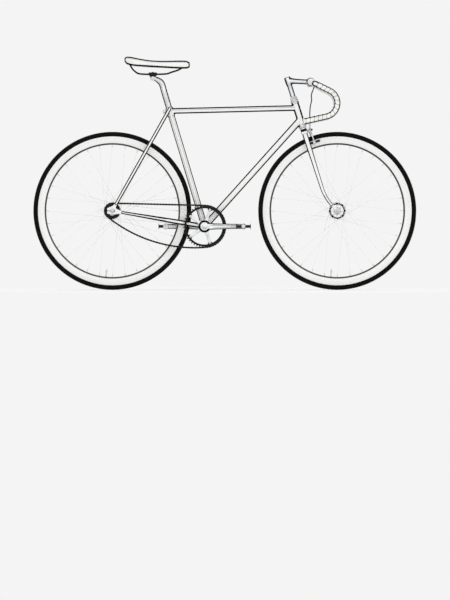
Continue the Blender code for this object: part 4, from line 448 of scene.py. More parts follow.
class Tree:
    """A node tree under construction."""

    def __init__(self, owner):
        owner.use_nodes = True
        self.tree = owner.node_tree

    def feed(self, socket, value):
        """Link a node's output to a socket, or set a constant on it."""
        if hasattr(value, "is_output"):
            self.tree.links.new(value, socket)
        elif socket.type == "RGBA":
            socket.default_value = (*value, 1.0)
        else:
            socket.default_value = value

    def node(self, kind, inputs=(), output=0, **settings):
        """A new node, fed with its inputs; returns one of its outputs."""
        node = self.tree.nodes.new("ShaderNode" + kind)
        for key, value in settings.items():
            setattr(node, key, value)
        for key, value in dict(inputs).items():
            self.feed(node.inputs[key], value)
        return node.outputs[output] if node.outputs else None

    def math(self, operation, *values):
        return self.node("Math", enumerate(values), operation=operation)

    def times(self, *values):
        return self.math("MULTIPLY", *values)

    def vector(self, operation, *values):
        output = "Value" if operation in ("DOT_PRODUCT", "LENGTH") else "Vector"
        return self.node("VectorMath", enumerate(values), output, operation=operation)

    def remap(self, value, low, high, to_low=0.0, to_high=1.0):
        inputs = {"Value": value, "From Min": low, "From Max": high, "To Min": to_low, "To Max": to_high}
        return self.node("MapRange", inputs, interpolation_type="SMOOTHSTEP")

    def blend(self, share, one, two, strength=None):
        """One colour turned into another by a share, at some strength."""
        if strength is not None:
            share = self.times(share, strength)
        return self.node("Mix", {0: share, 6: one, 7: two}, 2, data_type="RGBA")


class Nodes(Tree):
    """A node material under construction, with one shader."""

    def __init__(self, name, colour, roughness, metallic=0.0, **sockets):
        self.material = bpy.data.materials.new(name)
        super().__init__(self.material)
        self.shader = self.tree.nodes["Principled BSDF"].inputs
        sockets.update(Base_Color=colour, Roughness=roughness, Metallic=metallic)
        for socket, value in sockets.items():
            self.feed(self.shader[socket.replace("_", " ")], value)
        self.place = self.node("TexCoord", output="Object")

    def noise(self, scale, detail, roughness=0.55, vector=None):
        inputs = {"Vector": vector or self.place, "Scale": scale, "Detail": detail, "Roughness": roughness}
        return self.node("TexNoise", inputs, "Fac")

    def patches(self, low, high, scale, detail, roughness=0.55):
        """Noise stretched between two of its levels."""
        return self.remap(self.noise(scale, detail, roughness), low, high)

    def cells(self, scale, feature):
        return self.node("TexVoronoi", {"Vector": self.place, "Scale": scale}, "Distance", feature=feature)

    def ring(self, centre):
        """The radius and the coordinates about a wheel's centre."""
        local = self.vector("SUBTRACT", self.place, tuple(centre))
        x, y, z = self.node("SeparateXYZ", {"Vector": local}).node.outputs
        squares = [self.math("POWER", value, 2.0) for value in (x, z)]
        return self.math("SQRT", self.math("ADD", *squares)), x, y, z

    def turning_lines(self, radius, y, fine_lines, across):
        """Fine lines as a lathe leaves them."""
        spot = self.node("CombineXYZ", {"X": self.times(radius, fine_lines), "Y": self.times(y, across)})
        return self.noise(1.0, 3.0, 0.6, spot)

    def colour(self, value):
        self.feed(self.shader["Base Color"], value)

    def rough(self, value):
        self.feed(self.shader["Roughness"], value)

    def bump(self, height, strength, distance, also=None):
        inputs = {"Height": height, "Strength": strength, "Distance": distance}
        if also:
            inputs["Normal"] = also
        normal = self.node("Bump", inputs)
        self.feed(self.shader["Normal"], normal)
        return normal

    def band(self, value, low, high, edge):
        """1 between low and high, 0 outside, with soft edges."""
        up = self.remap(value, low - edge, low + edge)
        return self.times(up, self.remap(value, high - edge, high + edge, 1.0, 0.0))


BLACK = (0.012, 0.012, 0.013)
WHITE = (0.84, 0.84, 0.83)
TREAD_PITCH = 0.0026
RIB_PITCH = 0.0016
RIM_LINE = (0.28, 0.2882)     # radii between which the rim is lined
BRAKE_TRACK = (0.304, 0.315)
FLANGE_EDGE = (0.0272, 0.04)


def enamel(name, lining=()):
    """Glossy paint over metal: orange peel, faint dust, and fine black lines where named.

    A line is (origin, direction, offset, half width), drawn in the side plane along a tube.
    """
    n = Nodes(name, WHITE, 0.3, Coat_Weight=0.3, Coat_Roughness=0.1, Specular_IOR_Level=0.35)
    dust = n.patches(0.45, 0.75, 9.0, 6.0, 0.65)
    specks = n.patches(0.7, 0.78, 420.0, 2.0)
    shade = n.blend(dust, WHITE, tuple(0.9 * c for c in WHITE), 0.3)
    shade = n.blend(specks, shade, (0.55, 0.53, 0.5), 0.35)
    for origin, direction, offset, half in lining:
        normal = direction.cross(Y).normalized()
        across = n.vector("DOT_PRODUCT", n.vector("SUBTRACT", n.place, tuple(origin)), tuple(normal))
        shade = n.blend(n.band(across, offset - half, offset + half, 0.0002), shade, BLACK)
    n.colour(shade)
    n.rough(n.remap(dust, 0.0, 1.0, 0.28, 0.42))
    n.bump(n.noise(180.0, 2.0), 0.02, 0.0005)
    return n.material


def alloy(name, colour, roughness, brushed=(1.0, 1.0, 1.0)):
    """Polished aluminium with fine buffing lines and a little oxide."""
    n = Nodes(name, colour, roughness, 1.0)
    lines = n.noise(900.0, 2.0, 0.5, n.node("Mapping", {"Vector": n.place, "Scale": brushed}))
    haze = n.patches(0.42, 0.72, 24.0, 5.0, 0.6)
    n.colour(n.blend(haze, colour, tuple(0.78 * c for c in colour), 0.55))
    n.rough(n.math("ADD", n.math("ADD", n.times(lines, 0.1), n.times(haze, 0.12)), roughness - 0.06))
    n.bump(lines, 0.05, 0.0003)
    return n.material


def black_steel(name, colour, roughness):
    """Blacked steel: worn paler on its rubbed spots, with a grain."""
    n = Nodes(name, colour, roughness, 0.3, Specular_IOR_Level=0.2)
    n.colour(n.blend(n.patches(0.6, 0.78, 60.0, 6.0, 0.7), colour, (0.04, 0.04, 0.04), 0.45))
    n.rough(n.remap(n.noise(180.0, 3.0), 0.3, 0.7, roughness - 0.08, roughness + 0.14))
    n.bump(n.noise(700.0, 2.0), 0.08, 0.0003)
    return n.material


def rubber(name):
    """Moulded rubber with a dusty bloom."""
    colour = (0.016, 0.016, 0.017)
    n = Nodes(name, colour, 0.72, Specular_IOR_Level=0.35)
    n.colour(n.blend(n.patches(0.4, 0.8, 30.0, 6.0, 0.7), colour, (0.055, 0.053, 0.05), 0.55))
    n.bump(n.noise(500.0, 3.0), 0.25, 0.0004)
    return n.material


def tyre_material(name, centre):
    """Tyre rubber: a fine file tread on the crown, ribs and a dusty bloom on the sidewalls."""
    black = (0.003, 0.003, 0.003)
    n = Nodes(name, black, 0.8, Specular_IOR_Level=0.08)
    radius, x, y, z = n.ring(centre)
    along = n.times(n.math("ARCTAN2", z, x), TYRE_RADIUS)
    leans = [n.math(lean, along, y) for lean in ("ADD", "SUBTRACT")]
    cuts = [n.math("SINE", n.times(lean, 2 * pi / TREAD_PITCH)) for lean in leans]
    crown = n.remap(radius, TYRE_RADIUS - 0.006, TYRE_RADIUS - 0.0045)
    ribs = n.math("SINE", n.times(radius, 2 * pi / RIB_PITCH))
    wall = n.times(n.math("SUBTRACT", 1.0, crown), 0.3)
    relief = n.math("ADD", n.times(n.math("MAXIMUM", *cuts), crown), n.times(ribs, wall))
    bloom = n.patches(0.42, 0.8, 34.0, 6.0, 0.7)
    shade = n.blend(bloom, black, (0.012, 0.012, 0.012), 0.35)
    n.colour(n.blend(n.times(n.times(crown, 0.5), bloom), shade, (0.024, 0.023, 0.022)))
    n.bump(relief, 0.55, 0.0005, n.bump(n.noise(900.0, 2.0), 0.15, 0.0003))
    return n.material


def rim_material(name, centre):
    """White anodised rim: fine turned lines, brake track scuffed grey, a black line at its tip."""
    n = Nodes(name, WHITE, 0.26, Coat_Weight=0.4, Coat_Roughness=0.08)
    radius, _, y, _ = n.ring(centre)
    lines = n.turning_lines(radius, y, 5200.0, 120.0)
    scuff = n.times(n.band(radius, *BRAKE_TRACK, 0.0008), n.remap(lines, 0.42, 0.7))
    shade = n.blend(n.patches(0.45, 0.75, 11.0, 6.0, 0.65), WHITE, (0.76, 0.75, 0.73), 0.25)
    shade = n.blend(scuff, shade, (0.56, 0.56, 0.57), 0.4)
    n.colour(n.blend(n.band(radius, *RIM_LINE, 0.0002), shade, BLACK))
    n.rough(n.remap(scuff, 0.0, 1.0, 0.24, 0.42))
    n.bump(lines, 0.05, 0.0003)
    return n.material


def hub_material(name, centre):
    """Polished hub whose flange has a black edge and a faint turned face."""
    metal = (0.58, 0.59, 0.6)
    n = Nodes(name, metal, 0.3, 1.0)
    radius, _, y, _ = n.ring(centre)
    lines = n.turning_lines(radius, y, 3600.0, 200.0)
    shade = n.blend(n.remap(lines, 0.4, 0.7), metal, (0.48, 0.49, 0.5))
    n.colour(n.blend(n.band(radius, *FLANGE_EDGE, 0.0001), shade, (0.006, 0.006, 0.006)))
    n.rough(n.remap(lines, 0.3, 0.7, 0.18, 0.32))
    n.bump(lines, 0.08, 0.0003)
    return n.material


def tape_material(name):
    """Perforated leather-grain tape, greyer where hands rub it, the creases of its grain darkened with
    painted shade.
    """
    colour = (0.87, 0.86, 0.84)
    n = Nodes(name, colour, 0.55, Sheen_Weight=0.15, Specular_IOR_Level=0.4)
    hands = n.patches(0.42, 0.74, 14.0, 5.0, 0.65)
    crease_and_painted_shade = n.remap(n.cells(300.0, "DISTANCE_TO_EDGE"), 0.0, 0.06)
    shade = n.blend(hands, colour, (0.62, 0.6, 0.57), 0.5)
    # painted shade: the colour is darker in the creases of the grain, where the bump sinks
    n.colour(n.blend(n.math("SUBTRACT", 1.0, crease_and_painted_shade), shade, (0.5, 0.48, 0.45), 0.25))
    n.rough(n.remap(hands, 0.0, 1.0, 0.5, 0.66))
    creased = n.bump(crease_and_painted_shade, 0.25, 0.0004, n.bump(n.cells(620.0, "F1"), 0.3, 0.0005))
    n.bump(n.noise(1400.0, 2.0), 0.1, 0.0002, creased)
    return n.material


def leather(name):
    """White saddle leather: pebbled grain, fine creases darkened with painted shade, a soft grey where it is
    sat on.
    """
    colour = (0.88, 0.87, 0.85)
    n = Nodes(name, colour, 0.42, Coat_Weight=0.1, Coat_Roughness=0.3, Sheen_Weight=0.08)
    worn = n.patches(0.44, 0.76, 18.0, 6.0, 0.65)
    creases_and_painted_shade = n.remap(n.cells(210.0, "DISTANCE_TO_EDGE"), 0.0, 0.05)
    shade = n.blend(worn, colour, (0.66, 0.64, 0.61), 0.35)
    # painted shade: the colour is darker in the creases, where the bump sinks
    n.colour(n.blend(n.math("SUBTRACT", 1.0, creases_and_painted_shade), shade, (0.48, 0.46, 0.43), 0.22))
    n.rough(n.remap(worn, 0.0, 1.0, 0.36, 0.52))
    n.bump(creases_and_painted_shade, 0.2, 0.0003, n.bump(n.cells(760.0, "SMOOTH_F1"), 0.22, 0.0005))
    return n.material


def plastic(name, colour, roughness):
    n = Nodes(name, colour, roughness, Specular_IOR_Level=0.4)
    pale = tuple(min(1.0, c * 1.8 + 0.01) for c in colour)
    n.colour(n.blend(n.patches(0.5, 0.8, 40.0, 5.0), colour, pale, 0.35))
    n.bump(n.noise(800.0, 2.0), 0.1, 0.0003)
    return n.material


def lacquer(name):
    """Matt lining lacquer with brushed-out streaks and a little dust."""
    colour = (0.004, 0.004, 0.004)
    n = Nodes(name, colour, 0.9, Specular_IOR_Level=0.03)
    n.colour(n.blend(n.patches(0.55, 0.85, 60.0, 5.0, 0.6), colour, (0.014, 0.014, 0.013), 0.5))
    n.rough(n.remap(n.noise(24.0, 4.0), 0.3, 0.7, 0.82, 0.96))
    n.bump(n.noise(700.0, 2.0), 0.1, 0.0003)
    return n.material


PAINT = enamel("white_enamel")
INK = lacquer("black_lining_lacquer")
ALLOY = alloy("polished_aluminium", (0.66, 0.67, 0.68), 0.42)
BRUSHED = alloy("satin_aluminium", (0.6, 0.61, 0.62), 0.32, (1.0, 0.06, 1.0))
STEEL = alloy("stainless_steel", (0.5, 0.51, 0.52), 0.26)
BLACKED = black_steel("blacked_steel", (0.006, 0.006, 0.006), 0.4)
CHAIN_BLACK = black_steel("oiled_chain_steel", (0.008, 0.008, 0.008), 0.36)
RUBBER = rubber("brake_block_rubber")
HOUSING = plastic("cable_sleeve", (0.014, 0.014, 0.015), 0.38)
CARRIER = plastic("saddle_carrier", (0.02, 0.02, 0.021), 0.5)
TAPE = tape_material("white_bar_tape")
LEATHER = leather("white_leather")
THREAD = plastic("stitching_thread", (0.05, 0.05, 0.05), 0.7)


# Floor, backdrop, lights and camera

PAPER = (0.905, 0.905, 0.905)
CAMERA_PLACE = Vector((0.00085, -42.52, 0.33))
CAMERA_AIM = Vector((0.00085, 0.0, -0.043))
LENS = 600.0                # long lens from afar: the picture is a plain side elevation
LAMP_AIM = (0.0, 0.0, 0.45)
FLOOR_RADIUS = 9.0
FLOOR_FADE_START = 0.5
FLOOR_FADE_END = 1.9
FLOOR_LIFT = 0.07           # glow that brings the lit floor up to the backdrop's colour
AMBIENT = 0.87
CEILING = 0.15              # share of the backdrop's colour that is mirrored from overhead


def make_floor():
    """Pale floor that keeps the object's shadow and fades into the backdrop's colour."""
    bmesh.ops.create_circle(bm, cap_ends=True, segments=96, radius=FLOOR_RADIUS)
    floor = placed("floor", baked(bm, "floor"))
    material = bpy.data.materials.new("pale_floor")
    floor.data.materials.append(material)
    t = Tree(material)
    t.tree.nodes.clear()
    fade = t.remap(t.vector("LENGTH", t.node("NewGeometry")), FLOOR_FADE_START, FLOOR_FADE_END)
    grain = t.node("TexNoise", {"Scale": 60.0, "Detail": 6.0}, "Fac")
    share = t.node("MapRange", {"Value": grain, "To Min": 0.985, "To Max": 1.0})
    tint = t.blend(share, tuple(0.985 * c for c in PAPER), PAPER)
    seen = t.node("LightPath", output="Is Camera Ray")
    diffuse = t.node("BsdfDiffuse", {"Color": tint})
    lift = t.node("Emission", {"Color": PAPER, "Strength": t.times(seen, FLOOR_LIFT)})
    lit = t.node("AddShader", {0: diffuse, 1: lift})
    glow = t.node("Emission", {"Color": PAPER})
    t.node("OutputMaterial", {"Surface": t.node("MixShader", {0: t.times(seen, fade), 1: lit, 2: glow})})


def make_world():
    """Pale surroundings with the backdrop's colour, mirrored darker towards the ceiling."""
    world = bpy.data.worlds.new("surroundings")
    bpy.context.scene.world = world
    t = Tree(world)
    t.tree.nodes.clear()
    rays = t.node("LightPath").node.outputs
    seen = t.math("MAXIMUM", rays["Is Camera Ray"], rays["Is Transmission Ray"])
    split = t.node("SeparateXYZ", {0: t.node("TexCoord", output="Generated")}, "Z")
    mirrored_share = t.times(rays["Is Glossy Ray"], t.remap(split, 0.15, 0.85, 1.0, CEILING))
    ambient = t.node("Background", {"Color": (1.0, 1.0, 1.0), "Strength": AMBIENT})
    backdrop = t.node("Background", {"Color": PAPER})
    shown = t.math("MAXIMUM", seen, mirrored_share)
    t.node("OutputWorld", {"Surface": t.node("MixShader", {0: shown, 1: ambient, 2: backdrop})})


def aim(thing, target):
    thing.rotation_euler = (Vector(target) - thing.location).to_track_quat("-Z", "Y").to_euler()


def soft_light(name, place, power):
    lamp = bpy.data.lights.new(name, "AREA")
    lamp.shape = "RECTANGLE"
    lamp.size, lamp.size_y = 7.0, 3.4
    lamp.energy = power
    light = placed(name, lamp)
    light.location = place
    aim(light, LAMP_AIM)


def make_camera():
    camera = bpy.data.cameras.new("camera")
    camera.lens = LENS
    camera.sensor_width = 36.0
    camera.clip_end = 200.0
    viewer = placed("camera", camera)
    viewer.location = CAMERA_PLACE
    aim(viewer, CAMERA_AIM)
    bpy.context.scene.camera = viewer
    bpy.context.scene.view_settings.view_transform = "Standard"


make_floor()
make_world()
soft_light("key_light", (0.6, -5.2, 2.0), 74.0)
soft_light("back_light", (-0.6, 5.2, 2.0), 62.0)
make_camera()


# Wheels

NUT_PLAY = 0.0003
AXLE_OUTSIDE = 0.014        # how far an axle stands out of its ends
SPOKE_RADIUS = 0.0009
SPOKE_CROSSINGS = 3
SPOKE_HOLES = FLANGE_RADIUS - 0.0035
HUB_LEAN = 0.0023           # how far a spoke lies outside or inside its flange
RIM_LEAN = 0.00125          # how far its nipple lies beside the rim's middle
FRONT_OUTSIDE = FRONT_SPACING / 2 + FORK_END_THICKNESS
REAR_OUTSIDE = REAR_SPACING / 2 + DROPOUT_THICKNESS


def make_tyre(name, centre, body):
    """Round tyre with five fine grooves in its tread and beads inside the rim's edges."""
    middle = RIM_OUTER_RADIUS + 0.0085
    half_width, groove, steps = 0.0125, 0.0005, 14
    half = []
    for k in range(1, steps + 1):
        turn = k / steps * pi / 2
        crown = TYRE_RADIUS - middle - (groove if k in (3, 6) else 0.0)
        half.append((middle + crown * cos(turn) ** 0.95, half_width * sin(turn)))
    half += mm((321.5, 12.1), (319, 10.8), (316.9, 9.2), (315.3, 8), (313.5, 7.6))
    turned([(TYRE_RADIUS - groove, 0.0)] + mirrored(half), centre, Y, 176)
    fine(name, body, tyre_material(name + "_rubber", centre), 50)


def make_rim(name, centre, body):
    """Deep V section rim with a brake track, turned edges and a rounded tip."""
    half = [
        (312.5, 7.8), (316.1, 8), (316.5, 8.6), (316.2, 9.3), (315.3, 9.5), (304, 9.5), (303.4, 9.2),
        (302.6, 9.2), (301.8, 9.4), (299, 9), (285, 4.6), (282.5, 3.7), (281.3, 2.4), (281, 0.8),
    ]
    lathe(mirrored(half), centre, Y, 176)
    fine(name, body, rim_material(name + "_white", centre), 40)


def spoke_ends(k, flange_offset):
    """Spoke k's ends at its flange and at the rim, and its lean."""
    rim_angle = 2 * pi * k / SPOKE_COUNT - pi / 2
    side = 1 if k % 2 == 0 else -1
    leading = 1 if (k // 2) % 2 == 0 else -1
    hub_angle = rim_angle + leading * SPOKE_CROSSINGS * 4 * pi / SPOKE_COUNT
    hub_end = SPOKE_HOLES * radial(hub_angle) + (side * flange_offset + leading * HUB_LEAN) * Y
    return hub_end, RIM_INNER_RADIUS * radial(rim_angle) + leading * RIM_LEAN * Y, leading


def make_hub(name, centre, body, flange_offset, half_length, thread):
    """High-flange hub with lightening holes, and its crossed spokes with heads and nipples."""
    holes, hole_circle, hole_radius, thickness = 8, 0.0222, 0.0056, 0.003
    outlines = [circle((0.0, 0.0), FLANGE_RADIUS, 96)]
    for middle in polar(*((hole_circle, (k + 0.5) * 2 * pi / holes) for k in range(holes))):
        outlines.append(circle(middle, hole_radius, 20))
    for side in (-1, 1):
        slab(outlines, centre + side * flange_offset * Y, X, Z, thickness, 0.0007)
    f, end = -1000 * flange_offset, -1000 * half_length
    lathe(mirrored([
        (0, end), (10.5, end), (12.0, end + 1.0), (12.5, f - 3.5), (15.0, f - 1.2), (15.0, f + 1.2),
        (12.8, f + 5.0), (11.2, f + 14.0),
    ], (11, 0)), centre, Y)
    if thread:
        rod(centre - (flange_offset + 0.001) * Y, centre - (CHAIN_LINE + 0.003) * Y, 0.0172, 40)
        rod(centre - (CHAIN_LINE + 0.002) * Y, centre - half_length * Y, 0.0158, 40)
    for k in range(SPOKE_COUNT):
        hub_end, rim_end, leading = spoke_ends(k, flange_offset)
        way = (rim_end - hub_end).normalized()
        start, tip = centre + hub_end, centre + rim_end
        bend = start - leading * SPOKE_RADIUS * Y
        swept([bend - leading * 0.0034 * Y, bend, start + 0.001 * way, tip], SPOKE_RADIUS, 8, 1)
        ball(bend - leading * 0.0032 * Y, 0.0019, Y, 0.45)
        rod(tip - 0.011 * way, tip + 0.002 * way, 0.00165, 10, 2, 0.0004)
        rod(tip - 0.0125 * way, tip - 0.011 * way, 0.0011, 10, 2, 0.0, 0.00165)
    fine(name, body, [hub_material(name + "_metal", centre), PAINT, ALLOY], 40)


def make_valve(name, centre, body):
    """Slim tyre valve with its nut and cap, pointing at the hub."""
    out = radial(radians(84.4 + 180))
    foot = centre + (RIM_INNER_RADIUS + 0.002) * out
    rod(foot, foot - 0.026 * out, 0.0026, 16, 0, 0.0003)
    rod(foot - 0.003 * out, foot - 0.005 * out, 0.0048, 16, 0, 0.0003)
    rod(foot - 0.02 * out, foot - 0.034 * out, 0.0032, 12, 1, 0.001)
    piece(name, body, [ALLOY, BRUSHED])


def make_axle(name, centre, body, radius, inside, outside, hub_half):
    """Threaded axle between two ends, with a cone and a locknut on each side of the hub."""
    tip = outside + AXLE_OUTSIDE
    inside -= NUT_PLAY
    pitch, depth, threads = 0.0009, 0.0005, 14
    half = [(0.0, -tip)]
    for k in range(threads):
        y = -tip + 0.0006 + k * pitch
        half += [(radius - depth, y), (radius, y + pitch / 2)]
    turned(mirrored(half + [(radius, -inside)]), centre, Y, 24)
    room = inside - hub_half
    for side in (-1, 1):
        out = side * Y
        hexagon(centre + (inside - 0.55 * room) * out, out, 2 * (radius + 0.003), 0.55 * room)
        cone = centre + (hub_half - 0.001) * out
        rod(cone, cone + (0.45 * room + 0.001) * out, radius + 0.0032, 24, 0, 0.0, radius + 0.0026)
    fine(name, body, STEEL)


def make_axle_nut(name, centre, body, outside, out):
    """Hexagon nut on its own washer."""
    base = centre + (outside + NUT_PLAY) * out
    lathe([(0, 0), (8.8, 0), (8.8, 1.2), (7.4, 2), (0, 2)], base, out, 32)
    hexagon(base + 0.0018 * out, out, 0.015, 0.007)
    fine(name, body, STEEL)


for end, centre, wheel in (("front", FRONT_AXLE, "front_wheel"), ("rear", REAR_AXLE, "rear_wheel")):
    make_tyre(end + "_tyre", centre, wheel)
    make_rim(end + "_rim", centre, wheel)
    make_valve(end + "_valve", centre, wheel)
make_hub("front_hub", FRONT_AXLE, "front_wheel", 0.035, 0.042, False)
make_hub("rear_hub", REAR_AXLE, "rear_wheel", 0.033, 0.052, True)
make_axle("front_axle", FRONT_AXLE, "fork", 0.0045, FRONT_SPACING / 2, FRONT_OUTSIDE, 0.042)
make_axle("rear_axle", REAR_AXLE, "frame", 0.005, REAR_SPACING / 2, REAR_OUTSIDE, 0.052)
for name, side in SIDES:
    make_axle_nut("front_axle_nut_" + name, FRONT_AXLE, "fork", FRONT_OUTSIDE, side * Y)
    make_axle_nut("rear_axle_nut_" + name, REAR_AXLE, "frame", REAR_OUTSIDE, side * Y)


# Chain and sprockets

TOP_LINKS = 31          # straight pitches along the top run
LINKS_ON_RING = 21
LINKS_ON_COG = 6
SLACK_LINKS = 36        # pitches of the hanging lower run
RING_STEP = 2 * pi / CHAINRING_TEETH
COG_STEP = 2 * pi / COG_TEETH
TOOTH_HEIGHT = 0.0031       # above the pitch circle
VALLEY_RADIUS = 0.0041
BOLT_CIRCLE = 0.072
SPIDER_ARMS = 5
SPIDER_STEP = 2 * pi / SPIDER_ARMS


def on_circle(centre, radius, angle):
    return centre + radius * Vector((cos(angle), sin(angle)))


def halve(low, high, too_low):
    """The place between two bounds where too_low changes its answer."""
    for _ in range(60):
        middle = (low + high) / 2
        if too_low(middle):
            low = middle
        else:
            high = middle
    return middle


def chain_pins():
    """Pin centres (x, z) round both sprockets, and each sprocket's phase."""
    ring, cog = Vector((BB.x, BB.z)), Vector((REAR_AXLE.x, REAR_AXLE.z))
    big, small, p = RING_PITCH_RADIUS, COG_PITCH_RADIUS, CHAIN_PITCH
    apart = cog - ring
    ring_top = atan2(apart.y, apart.x) - acos((big - small) / apart.length)
    first = on_circle(ring, big, ring_top)
    cog_top = halve(
        ring_top - 0.4, ring_top + 0.4,
        lambda turn: (on_circle(cog, small, turn) - first).length < TOP_LINKS * p,
    )
    ring_low = on_circle(ring, big, ring_top - LINKS_ON_RING * RING_STEP)
    chord = on_circle(cog, small, cog_top + LINKS_ON_COG * COG_STEP) - ring_low
    bow = halve(
        1e-6, 2 * pi / SLACK_LINKS,
        lambda turn: p * sin(SLACK_LINKS * turn / 2) / sin(turn / 2) > chord.length,
    )
    pins = [first + (on_circle(cog, small, cog_top) - first) * i / TOP_LINKS for i in range(TOP_LINKS)]
    pins += [on_circle(cog, small, cog_top + i * COG_STEP) for i in range(LINKS_ON_COG)]
    lower = [ring_low]
    turn = atan2(chord.y, chord.x) + bow * (SLACK_LINKS - 1) / 2
    for _ in range(SLACK_LINKS):
        lower.append(on_circle(lower[-1], p, turn))
        turn -= bow
    pins += lower[1:][::-1]
    pins += [on_circle(ring, big, ring_top - (LINKS_ON_RING - i) * RING_STEP) for i in range(LINKS_ON_RING)]
    return pins, ring_top, cog_top


def link_mesh(outer):
    """One link along X at the origin: two plates, with pins and their heads or rollers."""
    half = CHAIN_PITCH / 2
    near = 0.0028 if outer else 0.0017
    eye, waist, thickness = 0.0041, 0.0031, 0.001
    plate = arc((half, 0.0), eye, radians(-115), radians(115), 10) + [(0.0, waist)]
    plate += arc((-half, 0.0), eye, radians(65), radians(295), 10) + [(0.0, -waist)]
    for side in (-1, 1):
        slab([plate], side * (near + thickness / 2) * Y, X, Z, thickness, 0.00018)
        for end in (-half, half) if outer else ():
            ball(end * X + side * (near + thickness) * Y, 0.0018, Y, 0.35)
    for end in (-half, half):
        if outer:
            pin(end * X, Y, 0.0038, 0.0017, 12, 1)
        else:
            pin(end * X, Y, 0.0016, 0.0038, 16, 1, 0.0003)
    return baked(bm, "link")


def make_chain(pins):
    """Outer and inner links in turn along the whole loop."""
    meshes = [link_mesh(True), link_mesh(False)]
    centres = [Vector((spot.x, -CHAIN_LINE, spot.y)) for spot in pins]
    for i, (one, two) in enumerate(zip(centres, centres[1:] + centres[:1])):
        along = (two - one).normalized()
        mesh = meshes[i % 2].copy()
        mesh.transform(turned_to((one + two) / 2, along, Y, along.cross(Y)))
        bm.from_mesh(mesh)
        bpy.data.meshes.remove(mesh)
    for mesh in meshes:
        bpy.data.meshes.remove(mesh)
    fine("chain", "frame", [CHAIN_BLACK, BLACKED], 40)


def sprocket(teeth, pitch_radius, phase):
    """Tooth outline with round valleys for the rollers; a valley is at the phase angle."""
    step = 2 * pi / teeth
    tip = pitch_radius + TOOTH_HEIGHT
    points = []
    for valley in (phase + i * step for i in range(teeth)):
        middle, = polar((pitch_radius, valley))
        points += arc(middle, VALLEY_RADIUS, valley + radians(242), valley + radians(118), 6)
        points += polar(*(
            (radius, valley + share * step)
            for radius, share in ((tip - 0.0004, 0.42), (tip, 0.5), (tip - 0.0004, 0.58))
        ))
    return points


def make_chainring(phase):
    """Toothed ring with a turned shoulder, five tabs and their bolts."""
    centre = BB - CHAIN_LINE * Y
    edge, reach, steps = 0.0768, 0.155, 16
    tab = mirrored([(edge, -reach), (0.0735, -0.125), (0.0665, -0.075)])
    tab += [(edge, reach + (SPIDER_STEP - 2 * reach) * k / steps) for k in range(1, steps)]
    inside = []
    for i in range(SPIDER_ARMS):
        inside += polar(*((radius, i * SPIDER_STEP + turn) for radius, turn in tab))
    slab([sprocket(CHAINRING_TEETH, RING_PITCH_RADIUS, phase), inside], centre, X, Z, 0.003, 0.0005)
    lathe(mirrored([(77.2, -2.4), (81, -2.4), (82.2, -1.8)]), centre, Y, 110)
    head = [(0, -11.5), (2.6, -11.5), (3, -10), (4.8, -9.6), (5.2, -8.4), (5.2, -6.9), (0, -6.9)]
    nut = [(0, 1.4), (5.2, 1.4), (5.2, 3), (4.6, 3.8), (0, 3.8)]
    for i in range(SPIDER_ARMS):
        for rows in (head, nut):
            lathe(rows, centre + BOLT_CIRCLE * radial(i * SPIDER_STEP), Y, 20, 1)
    fine("chainring", "crankset", [BLACKED, STEEL], 40)


def make_cog(phase):
    """Cog with its threaded boss, and the notched lockring outside it."""
    centre = REAR_AXLE - CHAIN_LINE * Y
    slab([sprocket(COG_TEETH, COG_PITCH_RADIUS, phase)], centre, X, Z, 0.003, 0.0005)
    lathe([(0, -2.4), (21.5, -2.4), (22.2, -1.8), (22.2, 4.8), (21.5, 5.5), (0, 5.5)], centre, Y)
    fine("rear_cog", "rear_wheel", BLACKED, 40)
    notched = [(0.0205, 0.04 + 0.19 * k) for k in range(5)] + [(0.0178, turn) for turn in (0.83, 0.92, 1.03)]
    outline = []
    for k in range(6):
        outline += polar(*((radius, k * pi / 3 + turn) for radius, turn in notched))
    slab([outline], centre - 0.006 * Y, X, Z, 0.004, 0.0005)
    fine("cog_lockring", "rear_wheel", STEEL, 40)


pins, ring_phase, cog_phase = chain_pins()
make_chain(pins)
make_chainring(ring_phase)
make_cog(cog_phase)


# Frame tubes

HEAD_SLEEVE = (steer_point(HEAD_LOW), STEER_UP, HEAD_TUBE_RADIUS)
LUG_SLEEVE = (BB, SEAT_UP, 0.0165)
SHELL_SLEEVE = (BB, Y, 0.02)
STAY_SIDES = 48


def reach_to(target, start, direction, outset):
    """How far a line runs until it meets a target cylinder (point, axis, radius)."""
    point, axis, radius = target
    begin = start + outset - point
    begin = begin - begin.dot(axis) * axis
    way = direction - direction.dot(axis) * axis
    a, b, c = way.dot(way), begin.dot(way), begin.dot(begin) - radius ** 2
    inside = b * b - a * c
    if inside <= 0.0:
        return -b / a
    return (-b - sqrt(inside)) / a


def fitted_tube(start, end, radius, targets):
    """A round tube between two others, its ends shaped to them with a brazed fillet."""
    sides, flare, steps, play, overlap = 56, 0.004, 6, 0.0002, 0.0008
    middle = (start + end) / 2
    direction = (end - start).normalized()
    across, up = frame_of(direction)
    halves = []
    for way, target in zip((-direction, direction), targets):
        limit = target[2] - play
        loops = []
        for k in range(steps + 1):
            gap = flare * k / steps
            size = radius + flare - sqrt(flare ** 2 - (flare - gap) ** 2)
            sunk = -gap if k else overlap
            loop = []
            for outset in oval(Vector(), up, across, size, min(size, limit), sides):
                loop.append(middle + outset + (reach_to(target, middle, way, outset) + sunk) * way)
            loops.append(loop)
        halves.append(loops)
    loft(halves[0] + halves[1][::-1])


def make_head_tube():
    half = [(15, -52.5), (16.9, -52.5), (17.1, -51.9), (17.1, -47.3), (15.9, -45.9)]
    lathe(mirrored(half), steer_point((HEAD_LOW + HEAD_TOP) / 2), STEER_UP, 56)
    ink_edges(HEAD_TUBE_RADIUS, 0.0082)
    fine("head_tube", "frame", [PAINT, INK])


def make_main_tube(name, start, end, radius, targets, offsets=()):
    fitted_tube(start, end, radius, targets)
    ink_edges(radius)
    paint = enamel(name + "_enamel", [(start, end - start, offset, 0.0007) for offset in offsets])
    fine(name, "frame", [paint, INK])


